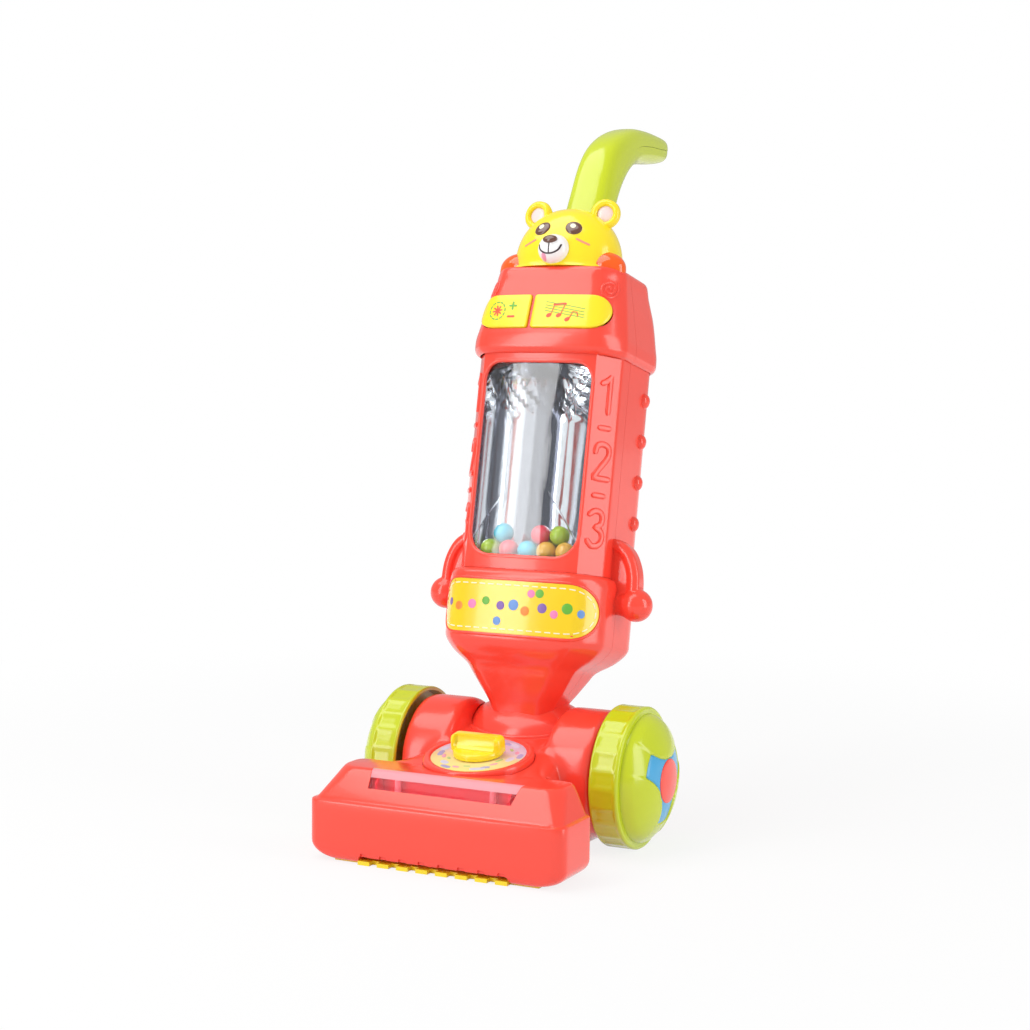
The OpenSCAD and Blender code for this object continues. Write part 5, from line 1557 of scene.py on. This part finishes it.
class VACUUM_OT_bear(bpy.types.Operator):
    """Models the bear's head with its ears, muzzle, eyes, nose and printed face"""
    bl_idname = "vacuum.bear"
    bl_label = "Bear"

    def execute(self, context):
        self.head()
        self.ear_linings()
        muzzle = pad("bear_muzzle_shape", ellipse(12.93, 12.13, 56), muzzle_at,
                     [(TIP, -9), (0.5, -6), (1, -1)]
                     + [(share, 0) for share in (1, 0.97, 0.92, 0.84, 0.7, 0.55, 0.4, 0.2, TIP)])
        on_body(muzzle, plastic("White plastic", colour("white")), "white_plastic", "bear_muzzle")
        self.eyes_and_nose()
        self.face_print()
        return {"FINISHED"}

    def head(self):
        rings = []
        for k in range(29):
            z = DECK_TOP + HEAD_H * (1 - (1 - k / 28) ** 1.7)
            share = max(head_share(z), 0.015)
            foot = ease(1 - (z - DECK_TOP) / 3.4)
            ring = []
            for j in range(96):
                t = 2 * pi * j / 96
                c, s = cos(t), sin(t)
                x = copysign(abs(c) ** (2 / HEAD_POWER), c) * (HEAD_HALF * share + 5.6 * foot)
                y = copysign(abs(s) ** (2 / HEAD_POWER), s) * (HEAD_DEPTH * share + 1.4 * foot)
                ring.append((x, HEAD_Y + y, z))
            rings.append(ring)
        head = sweep("bear_head_shape", rings)
        for side in (-1, 1):
            ear = lathe("ear", [(TIP, -5), (7.5, -5), (11, -3.6), (12.2, -0.6), (11.8, 2.4), (10.2, 4.2),
                                (8.4, 4.4), (7, 3.4), (6.5, 1.2), (TIP, 1.2)], 56)
            combine(head, place(ear, self.ear_place(side)), "UNION")
        on_body(head, yellow(), "yellow_plastic", "bear_head", angle=50)

    def ear_place(self, side):
        return (Matrix.Translation((side * EAR_X, EAR_Y, EAR_Z)) @ Matrix.Rotation(side * radians(8), 4, "Z")
                @ Matrix.Rotation(pi / 2, 4, "X"))

    def ear_linings(self):
        profile = [(TIP, 1), (6.4, 1), (6.4, 1.5), (5.8, 1.9), (4, 2.2), (TIP, 2.4)]
        linings = [place(lathe("lining", profile, 48), self.ear_place(side)) for side in (-1, 1)]
        blush = plastic("Pale pink plastic", colour("blush"))
        on_body(join(linings, "bear_ear_linings_shape"), blush, "pale_pink_plastic", "bear_ear_linings")

    def eyes_and_nose(self):
        rounded = [(TIP, -0.6), (1, -0.6), (1, 0.3), (0.94, 0.7), (0.8, 1), (0.5, 1.2), (TIP, 1.3)]
        parts = [pad("eye", ellipse(6.9, 5.3, 40, side * -EYE_TURN, side * EYE_X, EYE_Z), head_at, rounded,
                     (side * EYE_X, EYE_Z)) for side in (-1, 1)]
        domed = [(TIP, -0.8), (1, -0.8), (1, 0.6), (0.92, 1.3), (0.7, 1.8), (0.4, 2), (TIP, 2.1)]
        parts.append(pad("nose", ellipse(6, 3, 40, 0, 0, 5.8), muzzle_at, domed, (0, 5.8)))
        brown = plastic("Brown plastic", colour("brown"), gloss=0.15, coat=0.5)
        on_body(join(parts, "bear_eyes_shape"), brown, "brown_plastic", "bear_eyes")
        glints = []
        for side in (-1, 1):
            x, z = side * EYE_X - 0.6, EYE_Z + 1.2
            glints.append(pad("glint", ellipse(2.3, 1.8, 24, side * -EYE_TURN, x, z), head_at,
                              [(TIP, 0.9), (1, 0.9), (1, 1.3), (0.6, 1.42), (TIP, 1.45)], (x, z)))
        on_body(join(glints, "bear_eye_glints"), ink("White"), "white_plastic")

    def face_print(self):
        lift = 0.1 + size("print_lift")
        path = curve([(-9.4, 1.6), (-7.6, -2.4), (-3, -5), (3, -5), (7.6, -2.4), (9.4, 1.6)], 6)
        smile = stroke("smile", path, 1.2, muzzle_at, 0, lift)
        centre = stroke("centre", [(0, 3), (0, -1), (0, -5)], 1.1, muzzle_at, 0, lift)
        on_body(join([smile, centre], "bear_smile"), ink("Dark"), "brown_plastic")
        tongue = pad("bear_tongue", ellipse(2.2, 3.1, 24, 0.2, -4.6, -7.6), muzzle_at,
                     [(TIP, 0), (1, 0), (1, 0.1), (0.8, lift), (TIP, lift)], (-4.6, -7.6))
        on_body(tongue, ink("Rose"), "pale_pink_plastic")
        marks = (18, 401.6), (22.5, 399.6), (27.5, 397.6)
        cheeks = [stroke("cheek", [(side * x, z) for x, z in marks], 1.7, head_at, -0.05, lift)
                  for side in (-1, 1)]
        on_body(join(cheeks, "bear_cheeks"), ink("Cheek"), "pale_pink_plastic")


class VACUUM_OT_lamps(bpy.types.Operator):
    """Models the two orange lamps beside the head"""
    bl_idname = "vacuum.lamps"
    bl_label = "Lamps"

    def execute(self, context):
        profile = ([(TIP, -3), (17.1, -3), (17.4, -1), (17.4, 0.4)] + dome(17.3, 13.4, 1.4, range(0, 88, 8))
                   + [(TIP, 14.8)])
        oval = Matrix.Diagonal((1, LAMP_DEPTH, 1, 1))
        spots = [Matrix.Translation((side * LAMP_X, LAMP_Y, DECK_TOP)) for side in (-1, 1)]
        lamps = [place(lathe("lamp", profile, 64), spot @ oval) for spot in spots]
        material = plastic("Orange clear plastic", colour("orange"), gloss=0.08, coat=0.35)
        on_body(join(lamps, "lamp_lenses_shape"), material, "lamp_orange", "lamp_lenses")
        return {"FINISHED"}


# Path of the handle in the middle plane: distance behind the body's axis, height, half width
GRIP_PATH = [(10, 366, 17), (11, 380, 18.5), (13, 405.8, 18.5), (22.7, 443.8, 18), (34.4, 471.2, 17.5),
             (51.9, 494, 16.8), (73.8, 510, 15.8), (98.6, 518.3, 14.5), (124.9, 524.4, 12.9), (144, 529, 11),
             (152.4, 531, 9), (156.4, 532, 5.4)]
PALM_Z, PALM_SPAN, PALM_RISE = 482, 34, 4.6


class VACUUM_OT_handle(bpy.types.Operator):
    """Models the bent handle as a broad front half and a rounder rear half"""
    bl_idname = "vacuum.handle"
    bl_label = "Handle"

    def execute(self, context):
        path = curve(GRIP_PATH, 5)
        for name, front in (("handle_front", True), ("handle_rear", False)):
            rings = [self.section(path, i, front) for i in range(len(path))]
            half = sweep(name + "_shape", rings)
            on_body(half, lime(), "lime_plastic", name, angle=45)
        return {"FINISHED"}

    def section(self, path, i, front):
        """Half of the handle's section: fuller in front, where the palm lies."""
        y, z, r = path[i]
        along = direction(path, i)
        power = 3.2 if front else 2.5
        side = 1 if front else -1
        fuller = PALM_RISE * ease(1 - abs(z - PALM_Z) / PALM_SPAN) if front else 0
        ring = []
        for k in range(25):
            t = pi * k / 24
            x = copysign(abs(cos(t)) ** (2 / power), cos(t)) * (r - 0.1 - (0 if front else 0.35))
            deep = 0.12 + sin(t) ** (2 / power) * (r - 0.3 + fuller)
            ring.append((x, y - side * deep * along.y, z + side * deep * along.x))
        return ring


class VACUUM_OT_inner_parts(bpy.types.Operator):
    """Finishes the solids that keep their shape: underside, screws, axles, cells, motor and the like"""
    bl_idname = "vacuum.inner_parts"
    bl_label = "Inner Parts"

    def execute(self, context):
        dress_nodes(yellow(), "base_plate")
        dress_nodes(metal("Steel", linear(190, 190, 194)), "axles", "axle_nuts", "hinge_pin", "base_screws",
                    "dial_screw", "battery_contacts", "door_screw", "button_springs", "body_screws")
        dress_nodes(metal("Motor can", linear(170, 172, 178), 0.3), "motor")
        dress_nodes(plastic("Cell sleeve", linear(70, 120, 84)), "battery_cells")
        dress_nodes(plastic("Black plastic", linear(48, 48, 52), gloss=0.4), "battery_box", "speaker")
        dress_nodes(plastic("Circuit board", linear(30, 112, 66), gloss=0.35), "sound_board")
        dress_nodes(plastic("Grey plastic", linear(200, 200, 206)), "motor_bracket")
        dress_nodes(plastic("White plastic", colour("white")), "fan")
        dress_nodes(clear_plastic("Lamp ivory", linear(250, 244, 226), 0.5), "lamp_leds")
        return {"FINISHED"}


# Camera: place, then azimuth off the front, pitch and roll in degrees, then lens and sensor in millimetres
CAMERA_PLACE = Vector((0.6403, AXLE.y - 1.3240, 0.3658))
CAMERA_TURNS = 26.03, 4.54, 0.6
CAMERA_LENS, CAMERA_SENSOR = 66.73, 36
# Softboxes: azimuth off the front and elevation in degrees, width, height and power
SOFTBOXES = {"Strip right": (88, 8, 0.6, 1.6, 11), "Strip left": (-27, 15, 0.36, 1.4, 8),
             "Overhead": (-50, 64, 1.2, 1.2, 13)}
SOFTBOX_DISTANCE = 1.5
SOFTBOX_TARGET = Vector((0, 0, 0.3))
# How much of its own white the floor shows, from beside the part to away from it
FLOOR_FADE = {"From Min": 0.25, "From Max": 1.0, "To Min": 0.84, "To Max": 1}


class VACUUM_OT_stage(bpy.types.Operator):
    """Sets the pale floor, the soft studio light and the camera"""
    bl_idname = "vacuum.stage"
    bl_label = "Stage"

    def execute(self, context):
        self.floor()
        self.world()
        for name, values in SOFTBOXES.items():
            self.softbox(name, *values)
        self.camera()
        context.scene.view_settings.view_transform = "Standard"
        return {"FINISHED"}

    def floor(self):
        """Floor that looks nearly white, also in reflections and through clear pieces, with a soft shadow."""
        floor = begin(bpy.ops.mesh.primitive_plane_add, "floor", size=12)
        material, tree, shader, made = new_material("Pale floor")
        dress(tree, shader, moulded_skin(), 0, Colour=(0.86, 0.86, 0.86, 1), Clouds=0.01, Gloss=0.8)
        feed(tree, shader, {"Specular IOR Level": 0})
        rays = add_node(tree, "LightPath").outputs
        seen = arithmetic(tree, "MAXIMUM", rays["Is Camera Ray"], rays["Is Glossy Ray"])
        seen = arithmetic(tree, "MAXIMUM", seen, rays["Is Transmission Ray"])
        away = add_node(tree, "VectorMath", {0: object_place(tree)}, operation="LENGTH").outputs["Value"]
        fade = add_node(tree, "MapRange", {"Value": away, **FLOOR_FADE}, interpolation_type="SMOOTHSTEP")
        share = arithmetic(tree, "MULTIPLY", seen, fade.outputs["Result"])
        blend_shaders(tree, share, shader, add_node(tree, "Emission", {"Strength": 1}), made)
        floor.data.materials.append(material)

    def world(self):
        world = bpy.data.worlds.new("Studio")
        world.use_nodes = True
        tree = world.node_tree
        rays = add_node(tree, "LightPath").outputs
        straight = arithmetic(tree, "MAXIMUM", rays["Is Camera Ray"], rays["Is Transmission Ray"])
        level = arithmetic(tree, "MULTIPLY_ADD", straight, 0.5, 0.5)
        feed(tree, tree.nodes["Background"], {"Color": (1, 1, 1, 1), "Strength": level})
        bpy.context.scene.world = world

    def softbox(self, name, azimuth, elevation, width, height, power):
        """Area light that looks at the middle of the object."""
        a, e = radians(azimuth), radians(elevation)
        away = Vector((sin(a) * cos(e), -cos(a) * cos(e), sin(e)))
        spot = SOFTBOX_TARGET + SOFTBOX_DISTANCE * away
        begin(bpy.ops.object.light_add, name, type="AREA", location=spot)
        lamp = bpy.context.object
        lamp.rotation_euler = (SOFTBOX_TARGET - spot).to_track_quat("-Z", "Y").to_euler()
        lamp.data.shape = "RECTANGLE"
        lamp.data.size, lamp.data.size_y = width, height
        lamp.data.energy = power

    def camera(self):
        azimuth, pitch, roll = (radians(a) for a in CAMERA_TURNS)
        level = cos(pitch)
        look = Vector((-sin(azimuth) * level, cos(azimuth) * level, -sin(pitch)))
        right = Vector((cos(azimuth), sin(azimuth), 0))
        up = right.cross(look)
        turned = right * cos(roll) + up * sin(roll)
        raised = up * cos(roll) - right * sin(roll)
        camera = begin(bpy.ops.object.camera_add, "Camera")
        stand = Matrix((turned, raised, -look)).transposed().to_4x4()
        stand.translation = CAMERA_PLACE
        camera.matrix_world = stand
        camera.data.lens, camera.data.sensor_width = CAMERA_LENS, CAMERA_SENSOR
        bpy.context.scene.camera = camera


class VACUUM_PT_pieces(bpy.types.Panel):
    """Lists the pieces of the toy vacuum cleaner"""
    bl_idname = "VACUUM_PT_pieces"
    bl_label = "Toy Vacuum Cleaner"
    bl_space_type = "VIEW_3D"
    bl_region_type = "UI"
    bl_category = "Vacuum"

    def draw(self, context):
        for group in (context.scene.vacuum_colours, context.scene.vacuum_sizes):
            for name in group.bl_rna.properties.keys():
                if name not in ("rna_type", "name"):
                    self.layout.prop(group, name)
        for operator in PIECES:
            self.layout.operator(operator.bl_idname)


PIECES = (
    VACUUM_OT_wheels, VACUUM_OT_base_shell, VACUUM_OT_nozzle_light, VACUUM_OT_dial, VACUUM_OT_neck,
    VACUUM_OT_lower_casing, VACUUM_OT_label, VACUUM_OT_tube, VACUUM_OT_bead_chamber, VACUUM_OT_cap,
    VACUUM_OT_buttons, VACUUM_OT_arms, VACUUM_OT_bear, VACUUM_OT_lamps, VACUUM_OT_handle,
    VACUUM_OT_inner_parts, VACUUM_OT_stage)
CLASSES = (VacuumColours, VacuumSizes) + PIECES + (VACUUM_PT_pieces,)


def register():
    for cls in CLASSES:
        bpy.utils.register_class(cls)
    bpy.types.Scene.vacuum_colours = bpy.props.PointerProperty(type=VacuumColours)
    bpy.types.Scene.vacuum_sizes = bpy.props.PointerProperty(type=VacuumSizes)


def unregister():
    del bpy.types.Scene.vacuum_sizes
    del bpy.types.Scene.vacuum_colours
    for cls in reversed(CLASSES):
        bpy.utils.unregister_class(cls)


def main():
    register()
    bpy.ops.vacuum.wheels()
    bpy.ops.vacuum.base_shell()
    bpy.ops.vacuum.nozzle_light()
    bpy.ops.vacuum.dial()
    bpy.ops.vacuum.neck()
    bpy.ops.vacuum.lower_casing()
    bpy.ops.vacuum.label()
    bpy.ops.vacuum.tube()
    bpy.ops.vacuum.bead_chamber()
    bpy.ops.vacuum.cap()
    bpy.ops.vacuum.buttons()
    bpy.ops.vacuum.arms()
    bpy.ops.vacuum.bear()
    bpy.ops.vacuum.lamps()
    bpy.ops.vacuum.handle()
    bpy.ops.vacuum.inner_parts()
    bpy.ops.vacuum.stage()
    bpy.context.view_layer.update()


if __name__ == "__main__":
    main()
